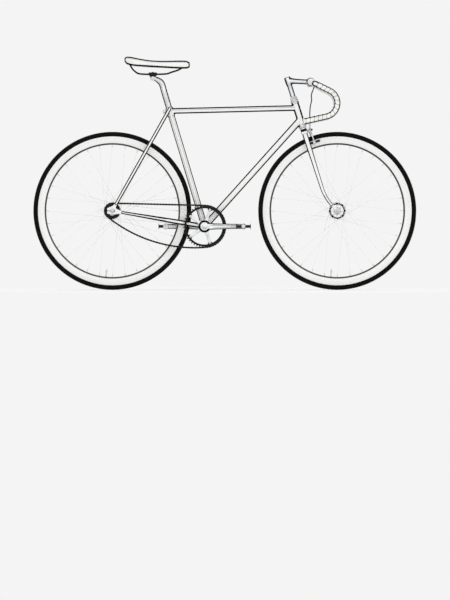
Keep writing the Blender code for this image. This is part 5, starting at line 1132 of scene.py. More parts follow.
def make_seat_tube():
    """Seat tube with its lug, the ears behind it and the slot between them."""
    lathe([
        (13.75, 12), (14.3, 12), (14.3, 486), (14.8, 488.8), (16.2, 490.6), (16.5, 491.6),
        (16.5, 525.4), (16.1, 526.6), (15.4, 527), (13.75, 527),
    ], BB, SEAT_UP, 56)
    ear = soften(mm((-14, 0), (-30, 1.5), (-31, 8), (-30, 15), (-14, 17)), 0.004)
    for side in (-1, 1):
        slab([ear], seat_point(0.5075, side * 0.0046), SEAT_FRONT, SEAT_UP, 0.0068, 0.001)
    ink_edges(SEAT_TUBE_RADIUS, 0.0046)
    paint = enamel("seat_tube_enamel", [(BB, SEAT_UP, offset, 0.0005) for offset in (-0.005, 0.005)])
    fine("seat_tube", "frame", [paint, INK])
    centre = seat_point(0.516) - 0.0253 * SEAT_FRONT
    pin(centre, Y, 0.012, 0.0025, 16)
    lathe([(0, 0), (5, 0), (5, 3.4), (4, 4.2), (0, 4.2)], centre - 0.0081 * Y, -Y, 28)
    hexagon(centre - 0.0119 * Y, -Y, 0.005, 0.0006)
    hexagon(centre + 0.0081 * Y, Y, 0.009, 0.0042)
    fine("seat_binder_bolt", "frame", STEEL)


def make_bottom_bracket():
    lathe(mirrored([(17.6, -34), (20.3, -34), (20.6, -33.5), (20.6, -29.5), (20, -28.5)]), BB, Y, 64)
    fine("bottom_bracket_shell", "frame", PAINT)
    cup = [
        (8.8, 24), (17.2, 24), (17.2, 34.3), (19.8, 34.3), (19.8, 36.4), (19, 37), (15, 37.2),
        (14.5, 37.8), (11, 37.8), (10.5, 37), (8.8, 37),
    ]
    for name, side in SIDES:
        lathe(cup, BB, side * Y)
        for turn in (k * pi / 3 for k in range(6)):
            at = BB + side * 0.0352 * Y + 0.019 * radial(turn)
            block(at, (0.0034, 0.0014, 0.0022), radial(turn), radial(turn + pi / 2), 0.0003)
        fine("bottom_bracket_cup_" + name, "frame", BLACKED)


def rounded_end(foot, way, axis, reach, wide, high, shares=(0.35, 0.7, 0.92, 1.0), least=0.02):
    """Ovals that close a stay or a blade in a rounded end."""
    loops = []
    for share in shares:
        size = sqrt(max(1 - share ** 2, least))
        loops.append(oval(foot + share * reach * way, Y, axis, wide * size, high * size, STAY_SIDES))
    return loops


def make_stay(name, side, origin, way, rows, caps, line):
    """A stay through rows of millimetres (along, offset, half height, half width), its ends rounded."""
    axis = Y.cross(way).normalized()
    if axis.z < 0:
        axis = -axis
    loops = []
    for along, offset, high, wide in smooth(mm(*rows), 5):
        loops.append(oval(origin + along * way + side * offset * Y, Y, axis, wide, high, STAY_SIDES))
    for foot, offset, sign, *rest in caps:
        cap = rounded_end(origin + foot * way + side * offset * Y, sign * way, axis, *rest)
        loops = loops + cap if sign > 0 else cap[::-1] + loops
    loft(loops)
    ink_edges(0.008, line)
    fine(name, "frame", [PAINT, INK])


def make_stays():
    """Both pairs of stays and the bridge between the upper two."""
    plane = (REAR_SPACING + DROPOUT_THICKNESS) / 2
    length = (SEAT_CLUSTER - REAR_AXLE).length
    chain_stay = [
        (8, 21.5, 11, 8.5), (80, 25.5, 11, 8.5), (150, 32.5, 10.3, 8.2), (230, 46, 9, 7.6),
        (292.2, 55.75, 7.6, 7), (327.2, 61.25, 6.9, 6.6), (353.2, 62.75, 6.5, 6.5),
    ]
    top = 1000 * length
    seat_stay = [
        (34.3, 62.75, 6.5, 6.5), (60, 61.55, 7, 7), (0.35 * top, 52.75, 8.0, 8.0),
        (0.65 * top, 32.5, 8.0, 8.0), (top - 50.0, 21.5, 8.0, 8.0), (top - 12.0, 20.7, 7.8, 7.8),
        (top + 6.0, 20.5, 7.0, 6.8),
    ]
    caps = [
        (0.0343, plane, -1, 0.0062, 0.0065, 0.0065),
        (length + 0.006, 0.0204, 1, 0.005, 0.0069, 0.0069, (0.4, 0.8, 1.0), 0.03),
    ]
    for name, side in SIDES:
        end = [(0.3532, plane, 1, 0.0062, 0.0065, 0.0065)]
        make_stay("chain_stay_" + name, side, BB, TO_AXLE, chain_stay, end, 0.0056)
        make_stay("seat_stay_" + name, side, REAR_AXLE, UP_SEAT_STAY, seat_stay, caps, 0.0045)
    centre = REAR_AXLE + (TYRE_RADIUS + 0.014) * UP_SEAT_STAY
    lathe(mirrored([(0, -33.5), (7.8, -33.5), (6.6, -30.5), (6, -26.5)]), centre, Y, 32)
    fine("seat_stay_bridge", "frame", PAINT)


def tongue(way, reach, half):
    """Two corners of the tongue with which a plate runs into a tube."""
    foot, off = reach * way, half * way
    return [(foot.x + off.z, foot.z - off.x), (foot.x - off.z, foot.z + off.x)]


def make_dropouts():
    """Track ends: plates with a slot that opens to the rear and a tongue in each stay."""
    slot = 0.0053
    outline = mm((-21.5, -5.3), (-22.2, -12), (6, -15.5), (20, -13.8)) + tongue(-TO_AXLE, 0.044, 0.0046)
    outline += mm((24, 6), (14, 11)) + tongue(UP_SEAT_STAY, 0.034, 0.0046)
    outline += mm((-4, 16), (-22.2, 12), (-21.5, 5.3))
    outline = soften(outline, 0.0035) + arc((0.007, 0.0), slot, pi / 2, -pi / 2, 14)
    for name, side in SIDES:
        centre = REAR_AXLE + side * (REAR_SPACING + DROPOUT_THICKNESS) / 2 * Y
        slab([outline], centre, X, Z, DROPOUT_THICKNESS, 0.0007)
        ink_edges(0.008, 0.003)
        fine("rear_dropout_" + name, "frame", [PAINT, INK])


def make_headset():
    for name, base, axis, top in (
        ("upper", steer_point(HEAD_TOP), STEER_UP, 9.0), ("lower", steer_point(HEAD_LOW), -STEER_UP, 7.5),
    ):
        lathe([
            (12.8, 0), (16.4, 0.3), (16.8, 1.2), (17.2, 3.4), (18, 4.8), (18.0, top - 1.0), (17.4, top),
            (12.8, top),
        ], base, axis, 56)
        fine("headset_%s_cup" % name, "frame", ALLOY)
    base = steer_point(HEAD_TOP + 0.0093)
    lathe([(12.8, 0), (17, 0), (17.4, 0.8), (16, 5.6), (12.8, 5.6)], base, STEER_UP, 56)
    lathe([(11.5, 5.8), (15.8, 5.8), (15.8, 7.2), (11.5, 7.2)], base, STEER_UP, 56)
    nut = [(11.5, 7.4), (15, 7.4), (15.2, 8.4), (15.2, 13), (14, 15.8), (12.2, 16.5), (11.5, 16)]
    lathe(nut, base, STEER_UP, 8)
    fine("headset_locknut", "fork", ALLOY, 25)


make_head_tube()
make_main_tube(
    "top_tube", seat_point(SEAT_TUBE_LENGTH - 0.015), steer_point(HEAD_TOP - 0.025), TOP_TUBE_RADIUS,
    (LUG_SLEEVE, HEAD_SLEEVE), (0.003,),
)
make_main_tube(
    "down_tube", BB, steer_point(HEAD_LOW + 0.028), DOWN_TUBE_RADIUS, (SHELL_SLEEVE, HEAD_SLEEVE),
)
make_seat_tube()
make_bottom_bracket()
make_stays()
make_dropouts()
make_headset()


# Fork

def make_crown():
    """Flat-topped crown with its race and steerer."""
    outline = mm(
        (35.8, 352.5), (35.8, 363), (29, 370.2), (19, 374.2), (13, 376), (-13, 376), (-19, 374.2),
        (-29, 370.2), (-35.8, 363), (-35.8, 352.5), (-17.5, 352.5), (-9, 359.2), (9, 359.2),
        (17.5, 352.5),
    )
    slab([soften(outline, 0.0045)], steer_point(0), Y, STEER_UP, 0.028, 0.0042)
    race = [(0, 372), (15.8, 372), (15.8, 379.6), (14.8, 381.2), (0, 381.2)]
    lathe(race, steer_point(0), STEER_UP, 48, 1)
    rod(steer_point(0.3792), steer_point(HEAD_TOP + 0.022), 0.01265, 48, 1)
    ink_edges(0.015, EDGE_LINE, 2)
    fine("fork_crown", "fork", [PAINT, ALLOY, INK])


def blade_centre(height, side):
    top, foot, bend_height = AXLE_TO_CROWN - 0.024, 0.035, 0.115
    inner = 0.0265
    outer = (FRONT_SPACING + FORK_END_THICKNESS) / 2
    bend = max(0.0, (bend_height - height) / bend_height)
    share = min(max((top - height) / (top - foot), 0.0), 1.0)
    return steer_point(height, FORK_RAKE * bend ** 2, side * (inner + (outer - inner) * share))


def fork_end(neck):
    """Outline of a fork end: a round plate with an open slot, and a tongue towards the blade."""
    slot, lip = 0.0048, 0.0006
    slope = atan2(neck.z, neck.x)
    outline = arc((0.0, 0.0), 0.0125, slope + 0.45, slope + 2 * pi - 0.45, 40)
    outline = [p for p in outline if not (abs(p[0]) < slot + lip and p[1] < 0)]
    cut_at = next(
        i for i, p in enumerate(outline)
        if p[1] < 0 and p[0] > -slot - 0.004 and outline[(i + 1) % len(outline)][0] > slot
    )
    mouth = [(-slot - lip, -0.0112), (-slot, -0.0106)] + arc((0.0, 0.0), slot, pi, 0.0, 12)
    mouth += [(slot, -0.0106), (slot + lip, -0.0112)]
    outline = outline[:cut_at + 1] + mouth + outline[cut_at + 1:]
    return outline + tongue(radial(slope), hypot(neck.x, neck.z) + 0.004, 0.0048)


def make_blade(name, side):
    """Raked blade whose end is slotted for the axle."""
    top = AXLE_TO_CROWN - 0.02
    loops = []
    lower = (330, 290, 245, 200, 160, 130, 110, 95, 82, 70, 58, 47, 38, 31)
    for height in (top, *mm(lower)[0]):
        share = height / top
        way = blade_centre(height + 0.002, side) - blade_centre(height - 0.002, side)
        wide, high = 0.0056 + 0.0024 * share, 0.0058 + 0.006 * share
        loops.append(oval(blade_centre(height, side), Y, Y.cross(way).normalized(), wide, high, STAY_SIDES))
    down = (blade_centre(0.029, side) - blade_centre(0.033, side)).normalized()
    forward = Y.cross(-down).normalized()
    loops += rounded_end(blade_centre(0.031, side), down, forward, 0.006, 0.0057, 0.0062)
    loft(loops)
    axle = FRONT_AXLE + side * (FRONT_SPACING + FORK_END_THICKNESS) / 2 * Y
    slab([fork_end(blade_centre(0.034, side) - axle)], axle, X, Z, FORK_END_THICKNESS, 0.0007)
    ink_edges(0.009, 0.0045)
    fine("fork_blade_" + name, "fork", [PAINT, INK])


make_crown()
for name, side in SIDES:
    make_blade(name, side)


# Cranks and pedals

def crank_eye(side):
    return BB - side * CRANK_LENGTH * X + side * CRANK_PLANE * Y


def crank_arm(side):
    """The slender arm from its boss to the pedal's eye, with a shallow fluted face."""
    forward, out = -side * X, side * Y
    stations = mm(
        (4, 13.5, 5.8), (20, 14, 6), (50, 12.8, 6), (90, 11.6, 5.8), (130, 10.7, 5.6), (155, 10.4, 5.6),
        (165, 10, 5.6),
    )
    loops = []
    for along, high, deep in smooth(stations, 4):
        centre = BB + along * forward + CRANK_PLANE * out
        flute = 0.0011 if 0.028 < along < 0.14 else 0.0
        ring = mirrored([
            (-deep, high * 0.72), (-deep * 0.8, high * 0.93), (-deep * 0.35, high), (deep * 0.35, high),
            (deep * 0.8, high * 0.93), (deep, high * 0.72), (deep, high * 0.55),
            (deep - flute, high * 0.42),
        ])
        loops.append([centre + v * Z + u * out for u, v in ring])
    loft(loops)
    lathe([
        (0, 40), (16, 40), (17.2, 41), (17.5, 48), (17.5, 66), (16.8, 68.2), (15, 68.5), (0, 68.5),
    ], BB, out)
    lathe([(0, 68.4), (11.6, 68.4), (11.6, 69.2), (10.4, 70), (0, 70.4)], BB, out, 40, 1)
    hexagon(BB + 0.0699 * out, out, 0.006, 0.0007, 1)
    eye = mirrored([(6.6, -6.2), (11.2, -6.2), (12.2, -5.4), (12.5, -4)])
    lathe(eye, crank_eye(side), out)


def spider():
    """Five arms behind the chainring and the disc that joins them."""
    arm = mirrored([
        (0.015, -0.5), (0.026, -0.3), (0.042, -0.15), (0.06, -0.1), (0.07, -0.1), (0.077, -0.07),
    ], (0.0792, 0.0))
    for i in range(SPIDER_ARMS):
        outline = polar(*((radius, i * SPIDER_STEP + turn) for radius, turn in arm))
        slab([outline], BB - 0.0467 * Y, X, Z, 0.0048, 0.0012)
    lathe([
        (0, 44), (24, 44), (26, 45), (26.2, 49), (24, 52), (18, 54.5), (0, 54.5),
    ], BB, -Y, 64)


def make_pedal(name, eye, out):
    """Quill-less track pedal: barrel, end bridges and two toothed cage plates."""
    barrel = [
        (4.7, 13.5), (9.2, 13.5), (9.8, 14.3), (9.8, 23), (8.8, 28.5), (7.4, 36.5), (7, 50.75),
        (7.4, 65), (8.8, 73), (9.6, 78.5), (9.6, 84), (4.7, 84),
    ]
    lathe(barrel, eye, out, 36)
    lathe([(0, 81.8), (9, 81.8), (9.3, 86), (8, 87.6), (0, 88)], eye, out, 32, 1)
    half_depth, cage_half, teeth = 0.03525, 0.0302, 9
    middle = eye + 0.05075 * out
    step = 2 * half_depth / teeth
    crest = []
    for start in (k * step - half_depth for k in range(teeth)):
        for share, height in ((0.08, 0.0092), (0.34, 0.0115), (0.66, 0.0115), (0.92, 0.0092)):
            crest.append((start + share * step, height))
    outlines = [mirrored(crest)]
    for at in (-0.0195, 0.0, 0.0195):
        slot = arc((at + 0.0048, 0.0), 0.0036, -pi / 2, pi / 2, 6)
        outlines.append(slot + arc((at - 0.0048, 0.0), 0.0036, pi / 2, 3 * pi / 2, 6))
    for end in (-1, 1):
        slab(outlines, middle + end * cage_half * X, Y, Z, 0.0024, 0.0004)
    bridge = mirrored(mm((-30, -6), (-12, -6.2), (12, -6.2), (30, -6)))
    for at in (eye + 0.02 * out, eye + 0.0825 * out):
        slab([bridge], at, X, Z, 0.0028, 0.0005)
        for end in (-1, 1):
            ball(at + end * 0.0314 * X, 0.0021, X, 0.4)
    fine(name, name, [BLACKED, STEEL], 40)


PEDAL_AXLE = [
    (0, -6.5), (6, -6.5), (6.5, -6), (6.5, 6.5), (8.2, 6.8), (8.5, 7.4), (8.5, 11.8), (7.6, 12.8),
    (4.5, 13), (4.5, 81.5), (0, 81.5),
]
for name, side in SIDES:
    crank_arm(side)
    if name == "right":
        spider()
    ink_edges(0.01, 0.0064, 2)
    fine("crank_" + name, "crankset", [ALLOY, BRUSHED, INK])
for name, side in SIDES:
    lathe(PEDAL_AXLE, crank_eye(side), side * Y, 32)
    fine("pedal_axle_" + name, "crankset", STEEL)
for name, side in SIDES:
    make_pedal("pedal_" + name, crank_eye(side), side * Y)


# Stem, bar and tape

def make_stem():
    """Quill stem: a slim extension fillet-joined to the quill's head, and a bar clamp with its bolt."""
    corner = steer_point(HEAD_TOP + 0.0958)
    quill_radius = 0.0111
    rod(steer_point(HEAD_TOP - 0.01), corner - 0.02 * STEER_UP, quill_radius, 40)
    lathe([
        (0, -24), (11.1, -24), (12.4, -19), (13.6, -13), (14.1, -6), (14.1, 12), (13.6, 14.6),
        (12, 16.3), (0, 16.5),
    ], corner, STEER_UP)
    hexagon(corner + 0.015 * STEER_UP, STEER_UP, 0.011, 0.0017, 1)
    along = BAR_CENTRE - corner
    up = Y.cross(along).normalized()
    loops = []
    for share, high, wide in smooth([
        (0.0, 0.014, 0.0138), (0.13, 0.0139, 0.0134), (0.19, 0.0128, 0.0124), (0.28, 0.0117, 0.0116),
        (0.5, 0.0112, 0.0112), (0.72, 0.011, 0.0112), (0.82, 0.0118, 0.0122), (0.9, 0.014, 0.0145),
        (1.0, 0.015, 0.016),
    ], 4):
        loops.append(oval(corner + share * along, Y, up, wide, high, 36))
    loft(loops)
    lathe(mirrored([(13, -21), (18.2, -21), (19.2, -20.3), (19.5, -19)]), BAR_CENTRE, Y, 56)
    bolt = BAR_CENTRE - 0.0165 * Z - 0.008 * X
    pin(bolt, Y, 0.015, 0.0056, 24, 0, 0.001)
    hexagon(bolt + 0.0148 * Y, Y, 0.008, 0.003, 1)
    lathe([(0, 0), (4.6, 0), (4.6, 3), (3.8, 3.6), (0, 3.6)], bolt - 0.0148 * Y, -Y, 24, 1)
    ink_edges(quill_radius, 0.005, 2)
    fine("stem", "fork", [ALLOY, STEEL, INK])


def bar_path(side):
    """Centre line of one side of the bar, from beside the stem to the end of the drop."""
    slope, bend, hook, drop_slope = radians(26), 0.045, 0.058, radians(12.5)
    ramp_length, drop_length = 0.0883, 0.1
    ramp = radial(-slope)
    plane = BAR_CENTRE + side * BAR_WIDTH / 2 * Y
    first = plane - side * bend * Y
    points = [BAR_CENTRE + side * y * Y for y in (0.03, 0.06, 0.09, 0.12)] + [first]
    for turn in (k * pi / 16 for k in range(1, 9)):
        points.append(first + bend * (1 - cos(turn)) * ramp + side * bend * sin(turn) * Y)
    points += [plane + share * ramp_length * ramp for share in (0.6, 0.8)]
    centre = plane + ramp_length * ramp - hook * radial(pi / 2 - slope)
    for u, v in arc((0.0, 0.0), hook, pi / 2 - slope, -pi / 2 + drop_slope, 18):
        points.append(centre + u * X + v * Z)
    last = points[-1]
    return points + [last - drop_length * k / 5 * radial(drop_slope) for k in range(1, 6)]


def make_bar():
    left, right = bar_path(1), bar_path(-1)
    middle = [BAR_CENTRE + y * Y for y in (0.0255, 0.023, 0.0, -0.023, -0.0255)]
    sleeve = [0.0126, 0.0128, 0.0128, 0.0128, 0.0126]
    radii = [BAR_RADIUS] * len(left) + sleeve + [BAR_RADIUS] * len(right)
    swept(left[::-1] + middle + right, radii, 40)
    fine("handlebar", "fork", ALLOY)


def make_tape(name, side):
    """Tape wound from the drop's end upwards, each turn lapping the last, with its plug and band."""
    pitch, thin, thick = 0.018, 0.0127, 0.01355
    sides, edge, seam = 36, 0.1, 0.07
    step, bare_half = 0.0012, 0.085
    path = even(bar_path(side), step)
    begin = next(i for i, p in enumerate(path) if abs(p.y - BAR_CENTRE.y) > bare_half)
    stations = carried(path[begin:][::-1])
    loops = []
    seams = []
    travelled = 0.0
    for i, (point, _, across, up) in enumerate(stations):
        if i:
            travelled += (point - stations[i - 1][0]).length
        loop = []
        for k in range(sides):
            turn = 2 * pi * k / sides
            phase = (travelled / pitch - side * k / sides) % 1.0
            seams.append(phase < seam)
            if phase < edge:
                radius = thick - (thick - thin) * (phase / edge) ** 0.7
            else:
                radius = thin + (thick - thin) * ((phase - edge) / (1 - edge)) ** 0.65
            loop.append(point + radius * (cos(turn) * across + sin(turn) * up))
        loops.append(loop)
    loft(loops)
    bm.verts.index_update()
    for face in bm.faces:
        if seams[min(vert.index for vert in face.verts)]:
            face.material_index = 3
    foot, start_way = stations[0][:2]
    end, end_way = stations[-1][:2]
    band = mirrored([(11.8, -6), (13.7, -6), (14, -5)])
    lathe(band, end - 0.004 * end_way, end_way, 40, 1)
    plug = [(0, -4), (13.2, -4), (13.5, -2), (13.5, -0.4), (12.8, 0.2), (0, 0.4)]
    lathe(plug, foot, -start_way, 40, 2)
    ink_edges(thick, 0.0056, 3, BAR_WIDTH / 2 - 0.004)
    band_black = plastic(name + "_band", (0.014, 0.014, 0.015), 0.35)
    plug_white = plastic(name + "_plug", (0.72, 0.71, 0.69), 0.4)
    fine(name, "fork", [TAPE, band_black, plug_white, INK], 28)


make_stem()
make_bar()
for name, side in SIDES:
    make_tape("bar_tape_" + name, side)


# Seatpost and saddle

RAIL_RISE = 0.0155
RAIL_RADIUS = 0.0035
SADDLE_TAIL = 0.117
SADDLE_NOSE = 0.154
SADDLE_HALF_WIDTH = 0.069
SADDLE_TOP = 0.072
SADDLE_SKIRT = 0.044
STRIP_LOW, STRIP_HIGH = 0.785, 0.92     # black strip along each shoulder, as shares of the cover's height
PIPE_EDGE = (0.975, 0.03)               # the piping's places across the cover, as width and height
PIPE_SEAM = (0.7, 0.865)
STITCH_LINE = (0.905, 0.715)
STITCH_PITCH = 0.0026
SADDLE_STATIONS = smooth([
    (-1, 0.41, 1.15, 1.59), (-0.93, 0.72, 1.25, 1.36), (-0.73, 0.96, 1.22, 1.2),
    (-0.43, 1.0, 1.11, 1.14), (-0.13, 0.81, 1.03, 1.09), (0.13, 0.54, 1.0, 1.05),
    (0.39, 0.35, 1.0, 1.0), (0.65, 0.29, 1.02, 0.95), (0.88, 0.25, 1.02, 0.93),
    (0.97, 0.17, 0.96, 0.98), (1.0, 0.09, 0.89, 1.07),
], 6)


def make_seatpost():
    """Layback post: a polished tube that sweeps back to a waisted cross head."""
    to_head = SADDLE_CENTRE - POST_BEND
    knots = [
        seat_point(SEAT_TUBE_LENGTH - 0.04), seat_point(SEAT_TUBE_LENGTH + 0.06), POST_BEND,
        POST_BEND + 0.35 * to_head + 0.0045 * Z, POST_BEND + 0.68 * to_head + 0.0035 * Z, SADDLE_CENTRE,
    ]
    swept(smooth(knots, 8), smooth([0.0136, 0.0136, 0.0136, 0.0124, 0.0104, 0.0091], 8), 44)
    head = [(0, -16), (11, -16), (12.2, -15.2), (12.5, -14), (12.5, -7), (11.9, -6)]
    lathe(mirrored(head), SADDLE_CENTRE, Y)
    ink_edges(0.0136, 0.0042)
    fine("seatpost", "seatpost", [ALLOY, INK])


def make_clamp():
    """Two-part rail cradle on the post's head, with its cross bolt."""
    outline = mm(
        (-18.5, 12), (-15, 9), (-12.6, 4), (12.6, 4), (15, 9), (18.5, 12), (18.5, 20.3), (15, 22.3),
        (-15, 22.3), (-18.5, 20.3),
    )
    for side in (-1, 1):
        slab([soften(outline, 0.003)], SADDLE_CENTRE + side * 0.0205 * Y, X, Z, 0.013, 0.0014)
    pin(SADDLE_CENTRE + 0.019 * Z, Y, 0.015, 0.006, 28, 0, 0.001)
    pin(SADDLE_CENTRE, Y, 0.024, 0.0035, 20, 1)
    for out in (Y, -Y):
        hexagon(SADDLE_CENTRE + 0.0225 * out, out, 0.011, 0.005, 1)
    fine("saddle_clamp", "saddle_clamp", [BLACKED, STEEL])


def saddle_point(station, side, height):
    """A point of the cover: side and height are shares of a station's width and height."""
    along, wide, high, deep = station
    x = along * (SADDLE_NOSE if along > 0 else SADDLE_TAIL)
    low = deep * SADDLE_SKIRT
    z = low + (high * SADDLE_TOP - low) * height
    return SADDLE_CENTRE + Vector((x, wide * SADDLE_HALF_WIDTH * side, z))


def saddle_line(side, height):
    return [saddle_point(station, side, height) for station in SADDLE_STATIONS]


def make_cover():
    """Padded racing saddle: its leather cover, with a black strip along each shoulder."""
    half = smooth([
        (0.8, -0.06), (0.93, 0.0), (0.99, 0.1), (1.0, 0.36), (0.945, 0.62), (0.86, 0.79), (0.7, 0.915),
        (0.46, 0.985), (0.22, 0.985), (0.0, 0.975),
    ], 4)
    ring = half + [(-side, height) for side, height in half[-2::-1]]
    loft([[saddle_point(station, *spot) for spot in ring] for station in SADDLE_STATIONS])
    ends = len(ring) * (len(SADDLE_STATIONS) - 1)
    for i, face in enumerate(bm.faces):
        middle = (ring[i % len(ring)][1] + ring[(i + 1) % len(ring)][1]) / 2
        face.material_index = int(STRIP_LOW < middle < STRIP_HIGH and i < ends)
    cover = fine("saddle", "saddle", [LEATHER, INK], 60)


def make_trim():
    """Piping round the cover's edges and along its shoulders, stitching beside it, and the shell."""
    pipe = 0.0035
    for side in (-1, 1):
        for wide, height in (PIPE_EDGE, PIPE_SEAM):
            swept(saddle_line(side * wide, height), pipe, 14, 0, True)
    corner = [PIPE_EDGE, (1.0, 0.2), (1.0, 0.4), (0.97, 0.55), (0.91, 0.71), (0.81, 0.81), PIPE_SEAM]
    wide, low = PIPE_EDGE
    for station in (SADDLE_STATIONS[0], SADDLE_STATIONS[-1]):
        across = [saddle_point(station, wide * (k / 6 - 1), low) for k in range(13)]
        swept(across, pipe, 14, 0, True)
        for side in (-1, 1):
            edge = [saddle_point(station, side * spot[0], spot[1]) for spot in corner]
            swept(smooth(edge, 3), 0.0033, 14, 0, True)
    piece("saddle_piping", "saddle", INK)

    for side in (-1, 1):
        row = even(saddle_line(side * STITCH_LINE[0], STITCH_LINE[1]), STITCH_PITCH)
        for one, two in zip(row[1::2], row[2::2]):
            swept([one, one + 0.6 * (two - one), two], 0.00055, 6, 0, True)
    piece("saddle_stitching", "saddle", THREAD)

    rim = [(-0.9, 0.06), (-0.93, 0.0), (-0.88, -0.05), (0.88, -0.05), (0.93, 0.0), (0.9, 0.06)]
    loft([[saddle_point(station, *spot) for spot in rim] for station in SADDLE_STATIONS[3:-3]])
    piece("saddle_shell", "saddle", CARRIER)


def make_rails():
    """One bent wire: up into the tail, along the clamp and up into the nose, then back."""
    base = SADDLE_CENTRE + RAIL_RISE * Z
    rows = mm(
        (-100.035, 29.92, 50.031), (-91.962, 29.04, 30.018), (-76.05, 25.08, 11.501), (-47.97, 22, 0),
        (48.048, 22, 0), (80.08, 20.02, 8.023), (111.958, 14.08, 18.984), (131.054, 9.02, 32.996),
        (137.522, 3.96, 34.013),
    )
    left, right = (smooth([base + Vector((x, side * y, z)) for x, y, z in rows], 6) for side in (1, -1))
    swept(left + right[::-1], RAIL_RADIUS, 20)
    fine("saddle_rails", "saddle", BLACKED)


make_seatpost()
make_clamp()
make_cover()
make_trim()
make_rails()


# Brake

LEVER_OUT = radial(radians(-30))
LEVER_AXIS = radial(radians(60))
LEVER_SEAT = BAR_CENTRE - 0.055 * Y
LEVER_PIVOT = LEVER_SEAT + 0.034 * LEVER_OUT
LEVER_BARREL = LEVER_SEAT + 0.0076 * Y + 0.02 * LEVER_OUT
CALLIPER_HEIGHT = 0.362
ARM_LAYERS = {"left": 0.0213, "right": 0.0276}
PAD_REACH = 0.308           # from the axle to the middle of a brake pad
PAD_SIDE = 0.01585          # from the bike's middle plane to a pad's back plate
WIRE_SIDE = -0.036
ANCHOR = steer_point(CALLIPER_HEIGHT - 0.0038, ARM_LAYERS["left"], WIRE_SIDE)
BARREL_FOOT = steer_point(CALLIPER_HEIGHT + 0.01, ARM_LAYERS["right"], WIRE_SIDE)
BARREL_TOP = BARREL_FOOT + 0.03 * Z
SLEEVE_RADIUS = 0.0025
WIRE_RADIUS = 0.0006


def strap(line, origin, u_axis, v_axis, thickness, normal):
    """A flat bar with soft edges and round ends through (u, v, width), its faces across a normal."""
    points = [origin + u * u_axis + v * v_axis for u, v, _ in line]
    stations = [(point, way_at(points, i), line[i][2], 1.0) for i, point in enumerate(points)]
    caps = []
    for sign, (point, way, width, _) in ((-1, stations[0]), (1, stations[-1])):
        sizes = [(share, sqrt(1 - share ** 2)) for share in (0.45, 0.75, 0.93)]
        caps.append([(point + sign * share * width / 2 * way, way, width * s, s) for share, s in sizes])
    loops = []
    for point, way, width, size in caps[0][::-1] + stations + caps[1]:
        across = normal.cross(way).normalized()
        deep = thickness / 2 * (0.7 + 0.3 * size)
        loop = []
        for u, v in circle((0.0, 0.0), 1.0, 24):
            across_part = copysign(abs(u) ** 0.45, u) * width / 2 * across
            loop.append(point + across_part + copysign(abs(v) ** 0.45, v) * deep * normal)
        loops.append(loop)
    loft(loops)


def make_brake_lever():
    """Small cross-top lever: bar band, forked bracket, pin and a curved blade."""
    band = mirrored([(12.2, -8), (15.4, -8), (16.3, -7.4), (16.5, -6.4)])
    lathe(band, LEVER_SEAT, Y)
    block(LEVER_SEAT + 0.0185 * LEVER_OUT, (0.009, 0.0156, 0.0142), LEVER_OUT, LEVER_AXIS, 0.0012)
    cheek = mm((14.5, -7.8), (30, -7.8)) + arc((0.0325, 0.0), 0.0075, -pi / 2, pi / 2, 12)
    cheek += mm((30, 7.8), (14.5, 7.8))
    head = [(0, 7.2), (3.6, 7.2), (3.6, 7.7), (2.8, 8.3), (0, 8.4)]
    for end in (-1, 1):
        slab([cheek], LEVER_SEAT + end * 0.00575 * LEVER_AXIS, LEVER_OUT, Y, 0.0028, 0.0006)
        lathe(head, LEVER_PIVOT, end * LEVER_AXIS, 24, 1)
    pin(LEVER_PIVOT, LEVER_AXIS, 0.0072, 0.0025, 20, 1)
    screw = LEVER_SEAT - 0.0168 * LEVER_OUT
    block(screw, (0.0044, 0.01, 0.012), LEVER_OUT, LEVER_AXIS, 0.001)
    hexagon(screw + 0.0058 * LEVER_AXIS, LEVER_AXIS, 0.0044, 0.0022, 1)
    barrel = [
        (0, 0), (4.2, 0), (4.2, 0.8), (3.6, 1), (3.6, 3), (4.2, 3.3), (4.2, 4), (3.3, 4.3), (0, 4.3),
    ]
    lathe(barrel, LEVER_BARREL, Y, 24, 1)
    fine("brake_lever_clamp", "fork", [BLACKED, STEEL])

    knots = mm((13, -1, 7), (0, 0, 11), (-20, 4.5, 12), (-60, 8.5, 11), (-97, 6, 8))
    line = smooth(knots, 6)
    strap(line, LEVER_PIVOT, Y, LEVER_OUT, 0.0078, LEVER_AXIS)
    for end in (-1, 1):
        face = LEVER_PIVOT + end * 0.0037 * LEVER_AXIS
        swept([face + u * Y + v * LEVER_OUT for u, v, _ in line[9:-4]], 0.0008, 8, 1, True)
    fine("brake_lever", "brake_lever", [BLACKED, STEEL])


def make_brake_bolt():
    middle = steer_point(CALLIPER_HEIGHT)
    lathe([
        (0, -1.0), (3, -1), (3, 14.3), (6.4, 14.3), (7, 14.8), (7, 17.6), (6.4, 18), (3, 18), (3, 37.4),
        (0, 37.4),
    ], middle, STEER_FRONT, 32)
    washer = [(3.1, 30.9), (6.2, 30.9), (6.4, 31.2), (6.2, 31.6), (3.1, 31.6)]
    lathe(washer, middle, STEER_FRONT, 32, 1)
    hexagon(middle + 0.0316 * STEER_FRONT, STEER_FRONT, 0.0092, 0.0036, 1)
    lathe([(0, 35), (3.8, 35), (3.4, 36.6), (0, 37.4)], middle, STEER_FRONT, 24, 1)
    fine("brake_pivot_bolt", "fork", [STEEL, BLACKED])


def make_barrel():
    """The collar in which the cable's sleeve ends, on the right arm."""
    lathe([
        (2.2, 0), (4, 0), (4, 18), (4.6, 18.4), (4.6, 25), (4, 25.4), (4, 29.6), (3.6, 30), (2.2, 30),
    ], BARREL_FOOT, Z, 28, 1)


def make_anchor():
    """The bolt that holds the wire, on the left arm."""
    lathe([(0, 2.4), (4.4, 2.4), (4.4, 5.6), (3.8, 6.2), (0, 6.2)], ANCHOR, STEER_FRONT, 24, 1)
    hexagon(ANCHOR - 0.0024 * STEER_FRONT, -STEER_FRONT, 0.007, 0.003, 1)


